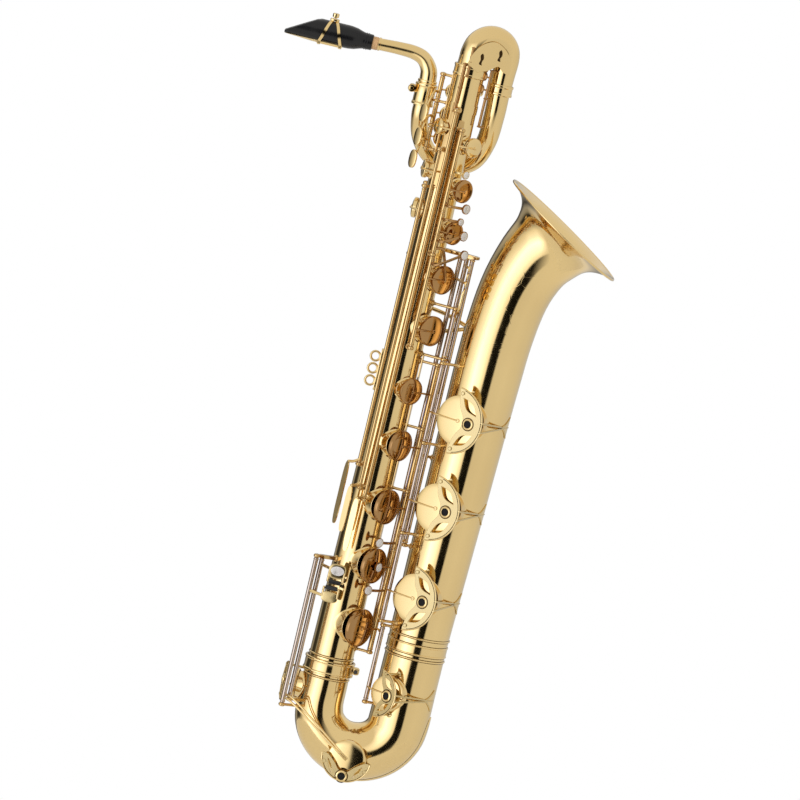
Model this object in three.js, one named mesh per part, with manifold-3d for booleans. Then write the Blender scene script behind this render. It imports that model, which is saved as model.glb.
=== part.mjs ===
// A low-A baritone saxophone: conical brass tubes, the mechanism that opens and closes their tone holes,
// and the neck and mouthpiece that are played into. Millimetres, +Z up, body tube upright, bell towards +X.
// Every sub-part is modelled in the instrument's own frame, whose origin is on the body tube's axis at the
// foot of that tube, and the whole is then moved so that the middle strap ring lies at the origin.
import * as THREE from "three";
import { mergeVertices } from "three/addons/utils/BufferGeometryUtils.js";
import Module from "manifold-3d";

const wasm = await Module();
wasm.setup();

// ---- Driving dimensions ----
const GAP = 0.3; // clearance between pieces that touch
const WALL = 1; // sheet brass
const BODY_TOP = 858; // length of the body tube
const BODY_RADIUS = 31.5; // outer radius at its foot
const BODY_TAPER = 0.0125; // loss of radius for each millimetre upwards
const BOW_DROP = 58; // straight part of the bow below the body tube
const BOW_DEPTH = 55; // height of the bow's half ellipse
const BELL_FOOT = 56; // height at which the bell tube leaves the bow
const BELL_RADIUS = 42; // outer radius there
const BELL_TAPER = 0.0145;
const BELL_AXIS = { foot: 113.8, lean: 0.0183 }; // distance from the body's axis, and its growth with height
const RIM_CENTRE = [178, 0, 672.5]; // centre of the bell's mouth
const CHIMNEY = 5; // height of a tone hole's rim over the crest of its tube
const CUP = 8; // height of a pad cup over that rim
const TUBE = 3.4; // outer radius of a hinge tube
const ROD = 1.8; // radius of the steel rod inside the stack keys
const STRAP_EYE = [-37, 0, 422]; // middle strap ring

// Vertical hinge lines, as x and y.
const LOWER_STACK = [51, -11];
const UPPER_STACK = [8, -38];
const BELL_KEYS = [57, -33];
const C_SHARP = [61, -22];
const LOW_C = [-52, -31];
const LOW_E_FLAT = [-44, -25];
const SIDE_B_FLAT = [-25, -26];
const SIDE_C = [-16, -32.5];
const HIGH_E = [-6, -36];
const PALM = [-35.6, 5];
const OCTAVE_THUMB = [-24, 27];
const OCTAVE_VENT = [-4, 37];
const TABLE_B_FLAT = [56, 2];
const TABLE_B = [64, -7];
const LOW_A_LEVER = [20, 31];
const G_SHARP_LEVER = [57, -14];
const TABLE_C_SHARP = [47, 6];

const BRASS = { color: 0xd9b25c, roughness: 0.18, metalness: 1 };
const STEEL = { color: 0xb9b6b4, roughness: 0.25, metalness: 1 };
const EBONITE = { color: 0x0c0c0d, roughness: 0.25, metalness: 0 };
const CORK = { color: 0xb98a55, roughness: 0.85, metalness: 0 };
const CANE = { color: 0xdcc48a, roughness: 0.6, metalness: 0 };
const BLACK_ROLLER = { color: 0x101010, roughness: 0.3, metalness: 0 };

// ---- Small tools ----
const V = (x, y, z) => new THREE.Vector3(x, y, z);
const radians = THREE.MathUtils.degToRad;
const at = ([x, y], z) => V(x, y, z);
const Y_AXIS = V(0, 1, 0);

// The direction away from a vertical axis at an angle from the viewer (-Y), positive towards the bell (+X).
const outward = (angle) => V(Math.sin(radians(angle)), -Math.cos(radians(angle)), 0);

const bodyRadius = (z) => BODY_RADIUS - BODY_TAPER * z;
const bellAxisX = (z) => BELL_AXIS.foot + BELL_AXIS.lean * (z - BELL_FOOT);
const bellTubeRadius = (z) => BELL_RADIUS + BELL_TAPER * (z - BELL_FOOT);

function solid(geometry) {
  const bare = new THREE.BufferGeometry().setAttribute("position", geometry.getAttribute("position"));
  bare.setIndex(geometry.index);
  const merged = mergeVertices(bare, 1e-3);
  return new wasm.Manifold(new wasm.Mesh({
    numProp: 3,
    vertProperties: new Float32Array(merged.attributes.position.array),
    triVerts: new Uint32Array(merged.index.array),
  }));
}

function geometryOf(made) {
  const mesh = made.getMesh();
  return new THREE.BufferGeometry()
    .setAttribute("position", new THREE.BufferAttribute(mesh.vertProperties, 3))
    .setIndex(new THREE.BufferAttribute(mesh.triVerts, 1));
}

const join = (...parts) => parts.flat().map(solid).reduce((a, b) => a.add(b));

// A round bar from p to q.
function rod(p, q, radius, sides = 8, endRadius = radius) {
  const bar = new THREE.CylinderGeometry(endRadius, radius, p.distanceTo(q), sides);
  const direction = q.clone().sub(p).normalize();
  bar.applyQuaternion(new THREE.Quaternion().setFromUnitVectors(Y_AXIS, direction));
  return bar.translate(...p.clone().add(q).multiplyScalar(0.5));
}

// A flat bar from p to q, width across and thickness measured as nearly as possible along `up`.
function bar(p, q, width, thickness, up = V(0, 0, 1)) {
  const along = q.clone().sub(p);
  const box = new THREE.BoxGeometry(width, thickness, along.length());
  along.normalize();
  const side = up.clone().cross(along).normalize();
  const basis = new THREE.Matrix4().makeBasis(side, along.clone().cross(side), along);
  return box.applyMatrix4(basis).translate(...p.clone().add(q).multiplyScalar(0.5));
}

// A solid of revolution: the profile holds [radius, height] pairs, and its axis runs from `base` along `direction`.
function turned(profile, base, direction, sides = 16) {
  const lathe = new THREE.LatheGeometry(profile.map(([r, h]) => new THREE.Vector2(r, h)), sides);
  lathe.applyQuaternion(new THREE.Quaternion().setFromUnitVectors(Y_AXIS, direction.clone().normalize()));
  return lathe.translate(...base);
}

const ring = (inner, outer, height, base, direction, sides) =>
  turned([[inner, 0], [outer, 0], [outer, height], [inner, height], [inner, 0]], base, direction, sides);

// A tube of changing radius along a curve. With an inner radius it is an open pipe, and without one a solid bar.
function sweep(curve, stations, sides, outerAt, innerAt, overshoot = 0) {
  const finest = 400;
  const frames = curve.computeFrenetFrames(finest, false);
  const positions = [];
  const faces = [];
  const ringOf = (u, radius) => {
    const k = Math.round(u * finest);
    const past = k === 0 ? -overshoot : k === finest ? overshoot : 0;
    const centre = curve.getPointAt(k / finest).addScaledVector(frames.tangents[k], past);
    for (let i = 0; i < sides; i++) {
      const turn = (2 * Math.PI * i) / sides;
      const across = frames.normals[k].clone().multiplyScalar(Math.cos(turn) * radius);
      const sideways = frames.binormals[k].clone().multiplyScalar(Math.sin(turn) * radius);
      positions.push(...centre.clone().add(across).add(sideways));
    }
  };
  const skin = (first, second, flip) => {
    for (let i = 0; i < sides; i++) {
      const j = (i + 1) % sides;
      const [a, b, c, d] = [first + i, first + j, second + i, second + j];
      faces.push(...(flip ? [a, c, b, b, c, d] : [a, b, c, b, d, c]));
    }
  };
  const count = stations.length;
  stations.forEach((u) => ringOf(u, outerAt(u)));
  for (let s = 0; s + 1 < count; s++) skin(s * sides, (s + 1) * sides, false);
  if (innerAt) {
    stations.forEach((u) => ringOf(u, innerAt(u)));
    for (let s = 0; s + 1 < count; s++) skin((count + s) * sides, (count + s + 1) * sides, true);
    skin(count * sides, 0, false);
    skin((count - 1) * sides, (2 * count - 1) * sides, false);
  } else {
    const last = (count - 1) * sides;
    for (let i = 1; i + 1 < sides; i++) faces.push(0, i + 1, i, last, last + i, last + i + 1);
  }
  return new THREE.BufferGeometry()
    .setAttribute("position", new THREE.BufferAttribute(new Float32Array(positions), 3))
    .setIndex(faces);
}

// Stiff wire or bar through the points given.
const arm = (points, radius = 2) => points.slice(1).map((q, i) => rod(points[i], q, radius * 1.1, 4));

const evenly = (steps) => Array.from({ length: steps + 1 }, (_, i) => i / steps);
const mix = (stops, u) => {
  const k = Math.max(1, stops.findIndex(([s]) => s >= u));
  const [[u0, v0], [u1, v1]] = [stops[k - 1], stops[k]];
  return v0 + ((v1 - v0) * (u - u0)) / (u1 - u0);
};

const group = new THREE.Group();
const instrument = new THREE.Group();
instrument.position.set(...STRAP_EYE).negate();
group.add(instrument);

// Booleans can leave slivers where two faces nearly coincide, and those are dropped here.
const FINEST = 0.02;
const whole = (made) => {
  const pieces = made.decompose().filter((piece) => piece.volume() > 1);
  return pieces.reduce((a, b) => a.add(b)).simplify(FINEST);
};

// `moves` says how a piece travels: its joint's type, a point and direction of its axis, and its range.
function add(name, made, look, moves) {
  const mesh = new THREE.Mesh(geometryOf(whole(made)), new THREE.MeshStandardMaterial(look));
  mesh.name = name;
  mesh.userData.moves = moves;
  instrument.add(mesh);
}

// ---- Tone holes ----
// A hole is the centre of its rim, the direction it faces, its bore and the radius of its pad cup.
const holeOn = (axis, radius, angle, z, bore, cup) => {
  const normal = outward(angle);
  return { rim: axis.clone().addScaledVector(normal, radius + CHIMNEY).setZ(z), normal, bore, cup };
};
const onBody = (z, angle, bore, cup) => holeOn(V(0, 0, 0), bodyRadius(z), angle, z, bore, cup);
const onBell = (z, angle, bore, cup) => holeOn(V(bellAxisX(z), 0, 0), bellTubeRadius(z), angle, z, bore, cup);

const HOLES = {
  d: onBody(65, 40, 22, 27.5),
  e: onBody(155, 40, 20.5, 25.5),
  f: onBody(240, 40, 20, 25),
  fSharp: onBody(328, 40, 17.5, 22),
  gSharp: onBody(405, 41, 15, 19),
  g: onBody(494, 55, 17, 21.5),
  a: onBody(567, 55, 16, 20.5),
  bis: onBody(634, 55, 12.5, 16.5),
  b: onBody(694, 55, 12.5, 16.5),
  c: onBody(756, 55, 10.5, 14),
  sideBFlat: onBody(655, -95, 11, 14.5),
  sideC: onBody(712, -80, 10, 13),
  highE: onBody(775, -55, 8.5, 11.5),
  palmD: onBody(756, -140, 8.5, 11.5),
  palmEFlat: onBody(790, -140, 8, 11),
  palmF: onBody(823, -140, 7.5, 10.5),
  octave: onBody(830, 140, 3, 5.5),
};
const BELL_HOLES = {
  lowA: onBell(385, -19, 29.5, 35.5),
  lowBFlat: onBell(258, -19, 29, 35),
  lowB: onBell(127, -19, 28.5, 34.5),
};
const BOW_HOLES = {
  cSharp: holeOn(V(113, 0, 0), 42, -29, -15, 20.5, 25.5),
  c: holeOn(V(56.5, 0, 0), 40.5, 0, -116, 22, 26.5),
  eFlat: holeOn(V(0, 0, 0), 32.5, -95, -38, 17, 21),
};

const holeSides = (bore) => (bore > 16 ? 12 : 8);
const chimney = ({ rim, normal, bore }) =>
  rod(rim.clone().addScaledVector(normal, -22), rim, bore + 1.3, holeSides(bore));
const chimneyBore = ({ rim, normal, bore }) =>
  rod(rim.clone().addScaledVector(normal, -22), rim.clone().addScaledVector(normal, 2), bore, holeSides(bore));

// A hinge post stands from a foot inside the tube's wall and takes a pivot on a hinge line.
const HEAD = 2.6; // half its height
const post = (foot, pivot) =>
  [bar(foot, pivot.clone().addScaledVector(pivot.clone().sub(foot).normalize(), TUBE), 6, 2 * HEAD)];
const postFrom = (centre, radius, line, z) => {
  const head = at(line, z);
  const direction = head.clone().sub(centre).normalize();
  return post(centre.clone().addScaledVector(direction, radius - 1.5 * WALL), head);
};
const bodyPost = (line, z) => postFrom(V(0, 0, z), bodyRadius(z), line, z);
const bellPost = (line, z) => postFrom(V(bellAxisX(z), 0, z), bellTubeRadius(z), line, z);

// Heights of the posts on each hinge line.
const POSTS = {
  lowerStack: [31, 265, 355.4, 448],
  upperStack: [466, 600.3, 778],
  bellKeys: [82, 210, 340, 455],
  palm: [739, 772, 807, 845],
};
const between = (low, high) => [low + HEAD + GAP, high - HEAD - GAP];

// ---- Tubes ----
const bodySkin = (grow, low = 0, high = BODY_TOP) =>
  turned([[0, low], [bodyRadius(low) + grow, low], [bodyRadius(high) + grow, high], [0, high]],
    V(0, 0, 0), V(0, 0, 1), 20);

const bowPoints = [V(0, 0, -GAP), V(0, 0, -BOW_DROP / 2)];
for (let i = 0; i <= 8; i++) {
  const turn = (Math.PI * i) / 8;
  bowPoints.push(V(56.5 - 56.5 * Math.cos(turn), 0, -BOW_DROP - BOW_DEPTH * Math.sin(turn)));
}
bowPoints.push(V(113.4, 0, 0), V(BELL_AXIS.foot, 0, BELL_FOOT - 15), V(BELL_AXIS.foot, 0, BELL_FOOT - GAP));
const bowCurve = new THREE.CatmullRomCurve3(bowPoints);
const bowRadius = (u) => mix([[0, 31.5], [0.16, 32.8], [0.42, 40.5], [0.68, 42.2], [1, BELL_RADIUS]], u);
const bowStations = evenly(11);
const bowSkin = (grow) => sweep(bowCurve, bowStations, 16, (u) => bowRadius(u) + grow, null, grow < 0 ? 1 : 0);

const bellCurve = new THREE.CatmullRomCurve3([
  V(BELL_AXIS.foot, 0, BELL_FOOT), V(BELL_AXIS.foot, 0, BELL_FOOT + 12), V(bellAxisX(250), 0, 250),
  V(bellAxisX(450), 0, 450), V(124.5, 0, 520), V(132, 0, 575), V(146, 0, 618), V(163, 0, 648), V(...RIM_CENTRE),
]);
const bellLength = bellCurve.getLength();
// The bell's outer radius at a distance from its mouth: a slow taper, a widening throat and a sharp flare.
const bellRadius = (u) => {
  const left = (1 - u) * bellLength;
  const taper = Math.min(48, BELL_RADIUS + BELL_TAPER * u * bellLength);
  return taper + 16 * Math.exp(-left / 60) + 34.5 * Math.exp(-left / 10);
};
const bellStations = [0, 0.4, 0.68, 0.8, 0.885, 0.94, 0.974, 0.9885, 1];
const bellSkin = (grow) => sweep(bellCurve, bellStations, 18, (u) => bellRadius(u) + grow);

const UPPER_BOW_LEG = V(46, 12, 842);
const upperBowPoints = [V(0, 0, BODY_TOP + GAP), V(0, 0, 866), V(0, 0, 876)];
for (let i = 0; i <= 6; i++) {
  const turn = (Math.PI * i) / 6;
  const share = (1 - Math.cos(turn)) / 2;
  upperBowPoints.push(V(UPPER_BOW_LEG.x * share, UPPER_BOW_LEG.y * share, 884 + 24.5 * Math.sin(turn)));
}
upperBowPoints.push(V(46, 12, 865), V(46, 12, 852), UPPER_BOW_LEG);
const upperBowCurve = new THREE.CatmullRomCurve3(upperBowPoints);
const upperBowRadius = (u) => 20.7 - 5.4 * u;

const loopCurve = new THREE.CatmullRomCurve3([
  UPPER_BOW_LEG.clone().setZ(UPPER_BOW_LEG.z - GAP), V(46, 12, 832), V(46.5, 15, 803), V(44, 26, 765), V(31, 40, 733),
  V(0, 47, 719), V(-29, 41, 729), V(-47, 30, 752), V(-54, 19, 778), V(-55, 16, 795), V(-55, 16, 806),
]);
const loopStations = [0, 0.03, ...evenly(11).slice(1, -1), 0.965, 1];
const loopRadius = (u) => 15.1 - 3.2 * u;

const neckCurve = new THREE.CatmullRomCurve3([
  V(-55, 16, 806.5), V(-55, 16, 818), V(-55, 16, 832), V(-57.5, 16, 846), V(-67, 16, 858.5), V(-82, 16, 864), V(-105, 16, 865),
  V(-140, 16, 864), V(-172, 16, 864),
]);
const neckRadius = (u) => mix([[0, 11.9], [0.2, 11.9], [0.45, 8.4], [0.6, 7.4], [1, 6.7]], u);
const MOUTH_AXIS = [16, 864]; // y and z of the mouthpiece's axis

function tubes() {
  const posts = [
    ...POSTS.lowerStack.map((z) => bodyPost(LOWER_STACK, z)), ...POSTS.upperStack.map((z) => bodyPost(UPPER_STACK, z)),
    ...POSTS.palm.map((z) => bodyPost(PALM, z)), ...[289, 690].map((z) => bodyPost(SIDE_B_FLAT, z)),
    ...[258, 745].map((z) => bodyPost(SIDE_C, z)), ...[243, 803].map((z) => bodyPost(HIGH_E, z)),
    ...[588, 690].map((z) => bodyPost(OCTAVE_THUMB, z)), ...[776, 843].map((z) => bodyPost(OCTAVE_VENT, z)),
    ...[369, 603].map((z) => bodyPost(LOW_A_LEVER, z)), ...[458, 531].map((z) => bodyPost(G_SHARP_LEVER, z)), bodyPost(TABLE_C_SHARP, 57), bodyPost(LOW_C, 150),
    bar(V(17.5, 13, 606), V(68, -6.5, 606), 12, 5.2), bar(V(-24, -14, 150), V(-46, -27, 150), 8, 5.2),
  ].flat();
  const holes = Object.values(HOLES);
  add("body_tube", join(bodySkin(0), holes.map(chimney), posts)
    .subtract(join(bodySkin(-WALL, -1, BODY_TOP + 1), holes.map(chimneyBore))), BRASS);

  const bowHoles = Object.values(BOW_HOLES);
  const bowPosts = [
    post(V(-27, -11, -66.5), at(LOW_C, -66.5)), post(V(-27, -11, -58), at(LOW_E_FLAT, -58)),
    post(V(80, -17, -37), at(C_SHARP, -37)),
  ].flat();
  add("bow", join(bowSkin(0), bowHoles.map(chimney), bowPosts)
    .subtract(solid(bowSkin(-WALL))).subtract(join(bowHoles.map(chimneyBore))), BRASS);

  const bellHoles = Object.values(BELL_HOLES);
  const bellPosts = [
    ...POSTS.bellKeys.map((z) => bellPost(BELL_KEYS, z)), bellPost(C_SHARP, 75), bellPost(TABLE_B, 190),
    bellPost(TABLE_B_FLAT, 318),
  ].flat();
  const inner = (u) => bellRadius(Math.max(0, u - 1.2 / bellLength)) - 0.8;
  add("bell", join(bellSkin(0), bellHoles.map(chimney), bellPosts)
    .subtract(solid(sweep(bellCurve, bellStations, 18, inner, null, 1))).subtract(join(bellHoles.map(chimneyBore))), BRASS);

  // Each top joint is a ferrule, soldered to the tube above or below it, that slips over the other tube's end.
  const ferrule = (x, y, socket, grip, low, step, high) => turned(
    [[socket, low], [socket + 2, low], [socket + 2, high], [grip, high], [grip, step], [socket, step], [socket, low]],
    V(x, y, 0), V(0, 0, 1), 12);
  const seam = BODY_TOP + 2 * GAP;
  add("upper_bow", solid(sweep(upperBowCurve, evenly(8), 12, upperBowRadius, (u) => upperBowRadius(u) - WALL))
    .add(solid(ferrule(0, 0, 21.9, 19.8, 850, seam, 866))), BRASS);
  const leg = UPPER_BOW_LEG.z - 2 * GAP;
  add("pigtail_loop", solid(sweep(loopCurve, loopStations, 10, loopRadius, (u) => loopRadius(u) - WALL))
    .add(solid(turned([[16.1, 849], [18, 849], [18, 834], [14.2, 834], [14.2, leg], [16.1, leg], [16.1, 849]].reverse(),
      V(46, 12, 0), V(0, 0, 1), 12))), BRASS);
}

// ---- Keys ----
const CLOSED = "closed";
const OPEN = "open";

// Turns a solid about a vertical hinge line.
const swing = (made, [x, y], angle) =>
  made.translate([-x, -y, 0]).rotate([0, 0, THREE.MathUtils.radToDeg(angle)]).translate([x, y, 0]);

// The turn about +Z, in radians, that lifts a pad by `lift` off its hole.
function opening(line, hole, lift) {
  const reach = at(line, hole.rim.z).sub(hole.rim);
  const turnsOut = reach.clone().cross(V(0, 0, 1)).dot(hole.normal) > 0 ? 1 : -1;
  return (turnsOut * lift) / reach.length();
}

const cupOver = ({ rim, normal, cup }) =>
  turned([[0, GAP], [cup, GAP], [cup, 5.5], [cup * 0.85, CUP], [0, CUP]], rim, normal, cup > 20 ? 12 : 8);
const cupArm = (line, { rim, normal }, z = rim.z) => arm([
  at(line, z).addScaledVector(normal, 1.5), rim.clone().addScaledVector(normal, CUP)]);
const pearlAt = (centre, facing, radius = 7) =>
  turned([[0, -2.5], [radius, -2.5], [radius, 1], [radius - 2, 2.5], [0, 2.5]], centre, facing, 8);
const plate = (centre, width, height, facing) => {
  const half = V(0, 0, height / 2);
  return bar(centre.clone().sub(half), centre.clone().add(half), 2.5, width, facing);
};

// A key: its pads are drawn shut, and then the whole is turned to where it rests.
function key(name, { line, span, hole, lift, rest, more = [], hollow = false, shaft = TUBE, look = BRASS }) {
  const [low, high] = span;
  const turn = opening(line, hole, lift);
  let made = join(rod(at(line, low), at(line, high), shaft, 6), cupOver(hole), more);
  if (hollow) made = made.subtract(solid(rod(at(line, low - 1), at(line, high + 1), ROD + GAP, 6)));
  const rests = rest === OPEN ? turn : 0;
  const sense = Math.sign(turn) * (rest === OPEN ? -1 : 1);
  add(name, swing(made, line, rests), look,
    { type: "hinge", pos: at(line, (low + high) / 2), axis: V(0, 0, sense), range: [0, Math.abs(turn)], spring: true });
}

// Levers turn about their own line without a pad.
function lever(name, line, [low, high], more, angle) {
  add(name, join(rod(at(line, low), at(line, high), TUBE, 6), more), BRASS,
    { type: "hinge", pos: at(line, (low + high) / 2), axis: V(0, 0, Math.sign(angle)), range: [0, Math.abs(angle)],
      spring: true });
}

function stacks() {
  const [foot, middle, upper, top] = POSTS.lowerStack;
  const [lowEnd, highEnd] = between(foot, middle);
  const rightHand = outward(28);
  const pearl = (z) => rightHand.clone().multiplyScalar(46).setZ(z);
  const reach = (z) => [...arm([at(LOWER_STACK, z), pearl(z)]), pearlAt(pearl(z), rightHand)];
  const stackKey = (name, hole, span, more, lift = 7) =>
    key(name, { line: LOWER_STACK, span, hole, lift, rest: OPEN, hollow: true,
      more: [...cupArm(LOWER_STACK, hole), ...more] });
  stackKey("d_key", HOLES.d, [lowEnd, 128], reach(121));
  const onCup = HOLES.e.rim.clone().addScaledVector(HOLES.e.normal, CUP + 4);
  const stem = rod(HOLES.e.rim.clone().addScaledVector(HOLES.e.normal, CUP - 1), onCup, 3, 6);
  stackKey("e_key", HOLES.e, [128.3, 180], [stem, pearlAt(onCup, HOLES.e.normal)]);
  stackKey("f_key", HOLES.f, [180.3, highEnd], reach(190));
  add("lower_stack_rod", solid(rod(at(LOWER_STACK, lowEnd), at(LOWER_STACK, highEnd), ROD, 6)), STEEL);
  key("f_sharp_key", { line: LOWER_STACK, span: between(middle, upper), hole: HOLES.fSharp, lift: 6, rest: OPEN,
    more: cupArm(LOWER_STACK, HOLES.fSharp) });
  key("g_sharp_key", { line: LOWER_STACK, span: between(upper, top), hole: HOLES.gSharp, lift: 5, rest: CLOSED,
    more: cupArm(LOWER_STACK, HOLES.gSharp) });
  lever("g_sharp_lever", G_SHARP_LEVER, between(458, 531),
    [...arm([at(G_SHARP_LEVER, 518), V(61, -30, 536), V(61.5, -31, 558)]), tablePlate(560)], -0.2);

  const facing = outward(55);
  const upperKey = (name, hole, span, more, hollow = true, lift = 5, z = hole.rim.z) =>
    key(name, { line: UPPER_STACK, span, hole, lift, rest: OPEN, hollow, more });
  // Over the upper stack a pearl's wire bows out past the cups before it turns in to the finger.
  const bowed = (z, pearlZ, x, y, radius) =>
    [...arm([at(UPPER_STACK, z), V(20, -47, z + 1), V(x, y, pearlZ)]), pearlAt(V(x, y, pearlZ), facing, radius)];
  const [gLow, gTop, stackTop] = POSTS.upperStack;
  const [aLow, cTop] = between(gTop, stackTop);
  upperKey("g_key", HOLES.g, between(gLow, gTop), [...cupArm(UPPER_STACK, HOLES.g), ...bowed(588, 610, 52, -38, 7)],
    false, 6);
  const aCup = HOLES.a.rim.clone().addScaledVector(facing, CUP);
  const aArm = arm([at(UPPER_STACK, 609), at(UPPER_STACK, 608).addScaledVector(facing, 7).add(V(7, 9, 0)), aCup]);
  upperKey("a_key", HOLES.a, [aLow, 628], [...aArm, ...bowed(621, 635, 44, -34, 7)]);
  upperKey("bis_key", HOLES.bis, [628.3, 661], [...cupArm(UPPER_STACK, HOLES.bis), ...bowed(652, 653, 35, -34, 5.5)]);
  upperKey("b_key", HOLES.b, [661.3, 712], [...cupArm(UPPER_STACK, HOLES.b), ...bowed(671, 672, 38, -31, 7)]);
  upperKey("c_key", HOLES.c, [712.3, cTop], [...cupArm(UPPER_STACK, HOLES.c), ...bowed(719, 719, 28, -40, 6)]);
  add("upper_stack_rod", solid(rod(at(UPPER_STACK, aLow), at(UPPER_STACK, cTop), ROD, 6)), STEEL);
}

// A touch of the left little finger's table, seen edge-on from the front.
function tablePlate(z, height = 9.5) {
  return plate(V(62.5, -37, z), 20, height, V(0, 1, 0));
}

function bellKeys() {
  const [low, lowMid, highMid, high] = POSTS.bellKeys;
  const bellKey = (name, hole, span, more = []) => key(name, { line: BELL_KEYS, span, hole, lift: 9, rest: OPEN,
    more: [...cupArm(BELL_KEYS, hole), ...more] });
  bellKey("low_b_key", BELL_HOLES.lowB, between(low, lowMid), arm([at(BELL_KEYS, 198), V(60, -24, 198)], 1.6));
  bellKey("low_b_flat_key", BELL_HOLES.lowBFlat, between(lowMid, highMid));
  bellKey("low_a_key", BELL_HOLES.lowA, between(highMid, high));
  key("low_c_sharp_key", { line: C_SHARP, span: between(-37, 75), hole: BOW_HOLES.cSharp, lift: 7, rest: CLOSED,
    more: [...cupArm(C_SHARP, BOW_HOLES.cSharp), ...arm([at(C_SHARP, 64), V(57, -13, 64)], 1.6)] });

  lever("table_c_sharp_lever", TABLE_C_SHARP, [57 + HEAD + GAP, 603.1], [
    ...arm([at(TABLE_C_SHARP, 571), V(57, -20, 571), V(61, -31, 571)]), tablePlate(571),
    ...arm([at(TABLE_C_SHARP, 64), V(57, -4, 64)], 1.6)], -0.2);
  lever("table_b_lever", TABLE_B, [190 + HEAD + GAP, 603.1], [
    ...arm([at(TABLE_B, 582), V(62, -31, 582)]), tablePlate(582), ...arm([at(TABLE_B, 198), V(62, -19, 198)], 1.6)],
    -0.24);
  lever("table_b_flat_lever", TABLE_B_FLAT, [318 + HEAD + GAP, 603.1], [
    ...arm([at(TABLE_B_FLAT, 593), V(56.5, -14, 593), V(61, -31, 593)]), tablePlate(593)], -0.2);
  lever("low_a_lever", LOW_A_LEVER, between(369, 603), [
    ...arm([at(LOW_A_LEVER, 596), V(9, 40, 604)]), plate(V(6, 41, 612), 14, 20, V(1, 0, 0))], 0.25);
}

// The two touches of the right little finger, with the ears that hold their rollers.
const ROLLER = { radius: 3.2, length: 17.4, y: -48 };
function pinkyTouch(x, z, height, rollerZ, width) {
  const ear = (side) => arm([V(x + side * 10.6, ROLLER.y, z), V(x + side * 10.6, ROLLER.y, rollerZ)], 1.6);
  return [plate(V(x, ROLLER.y, z), width, height, V(1, 0, 0)), ...ear(-1), ...ear(1)];
}

function lowKeys() {
  const eFlat = BOW_HOLES.eFlat;
  const cHole = BOW_HOLES.c;
  const diagonal = arm([at(LOW_C, -54), V(-30, -44, -60), cHole.rim.clone().addScaledVector(cHole.normal, CUP)], 2.6);
  key("low_c_key", { line: LOW_C, span: between(-66.5, 150), hole: cHole, lift: 10, rest: OPEN, more: [
    ...diagonal, ...arm([at(LOW_C, 100), V(-30, ROLLER.y + 1, 100)]), ...pinkyTouch(-20, 100, 15, 113, 23.4)] });
  key("low_e_flat_key", { line: LOW_E_FLAT, span: between(-58, 150), hole: eFlat, lift: 6, rest: CLOSED, more: [
    ...cupArm(LOW_E_FLAT, eFlat), ...arm([at(LOW_E_FLAT, 139), V(-29, ROLLER.y + 1, 139)]),
    ...pinkyTouch(-19, 137, 21, 121.5, 24)] });
}

function sideKeys() {
  const side = (name, line, span, hole, touch, size, lift = 4) => {
    const [low] = span;
    key(name, { line, span, hole, lift, rest: CLOSED, shaft: 2.6, more: [
      ...cupArm(line, hole), ...arm([at(line, low + 4), touch.clone().setZ(low - 1)]),
      plate(touch, 9, size, V(touch.x, touch.y, 0).cross(V(0, 0, 1)).normalize())] });
  };
  side("side_b_flat_key", SIDE_B_FLAT, between(289, 690), HOLES.sideBFlat, V(-40, -36, 246), 90);
  side("side_c_key", SIDE_C, between(258, 745), HOLES.sideC, V(-28, -44, 226), 66);
  side("high_e_key", HIGH_E, between(243, 803), HOLES.highE, V(-16, -47, 206), 76);

  const palm = (name, index, hole, touchZ) => {
    const span = between(POSTS.palm[index], POSTS.palm[index + 1]);
    key(name, { line: PALM, span, hole, lift: 5, rest: CLOSED, more: [
      ...cupArm(PALM, hole), ...arm([at(PALM, span[0] + 9), V(-43, -7, span[0] + 8), V(-49, -13, touchZ)]),
      plate(V(-50, -14, touchZ), 14, 26, V(0.7, -0.7, 0))] });
  };
  palm("palm_d_key", 0, HOLES.palmD, 722);
  palm("palm_e_flat_key", 1, HOLES.palmEFlat, 754);
  palm("palm_f_key", 2, HOLES.palmF, 788);

  lever("octave_thumb_key", OCTAVE_THUMB, between(588, 690), [
    ...arm([at(OCTAVE_THUMB, 663), V(-8, 36, 663)]), plate(V(-2, 37, 663), 24, 12, V(1, 0, 0)),
    ...arm([at(OCTAVE_THUMB, 684), V(-4, 30, 684), V(-4, 30, 770)], 1.4)], -0.12);
  key("octave_vent_key", { line: OCTAVE_VENT, span: between(776, 843), hole: HOLES.octave, lift: 3, rest: CLOSED,
    more: cupArm(OCTAVE_VENT, HOLES.octave) });
}

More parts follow.
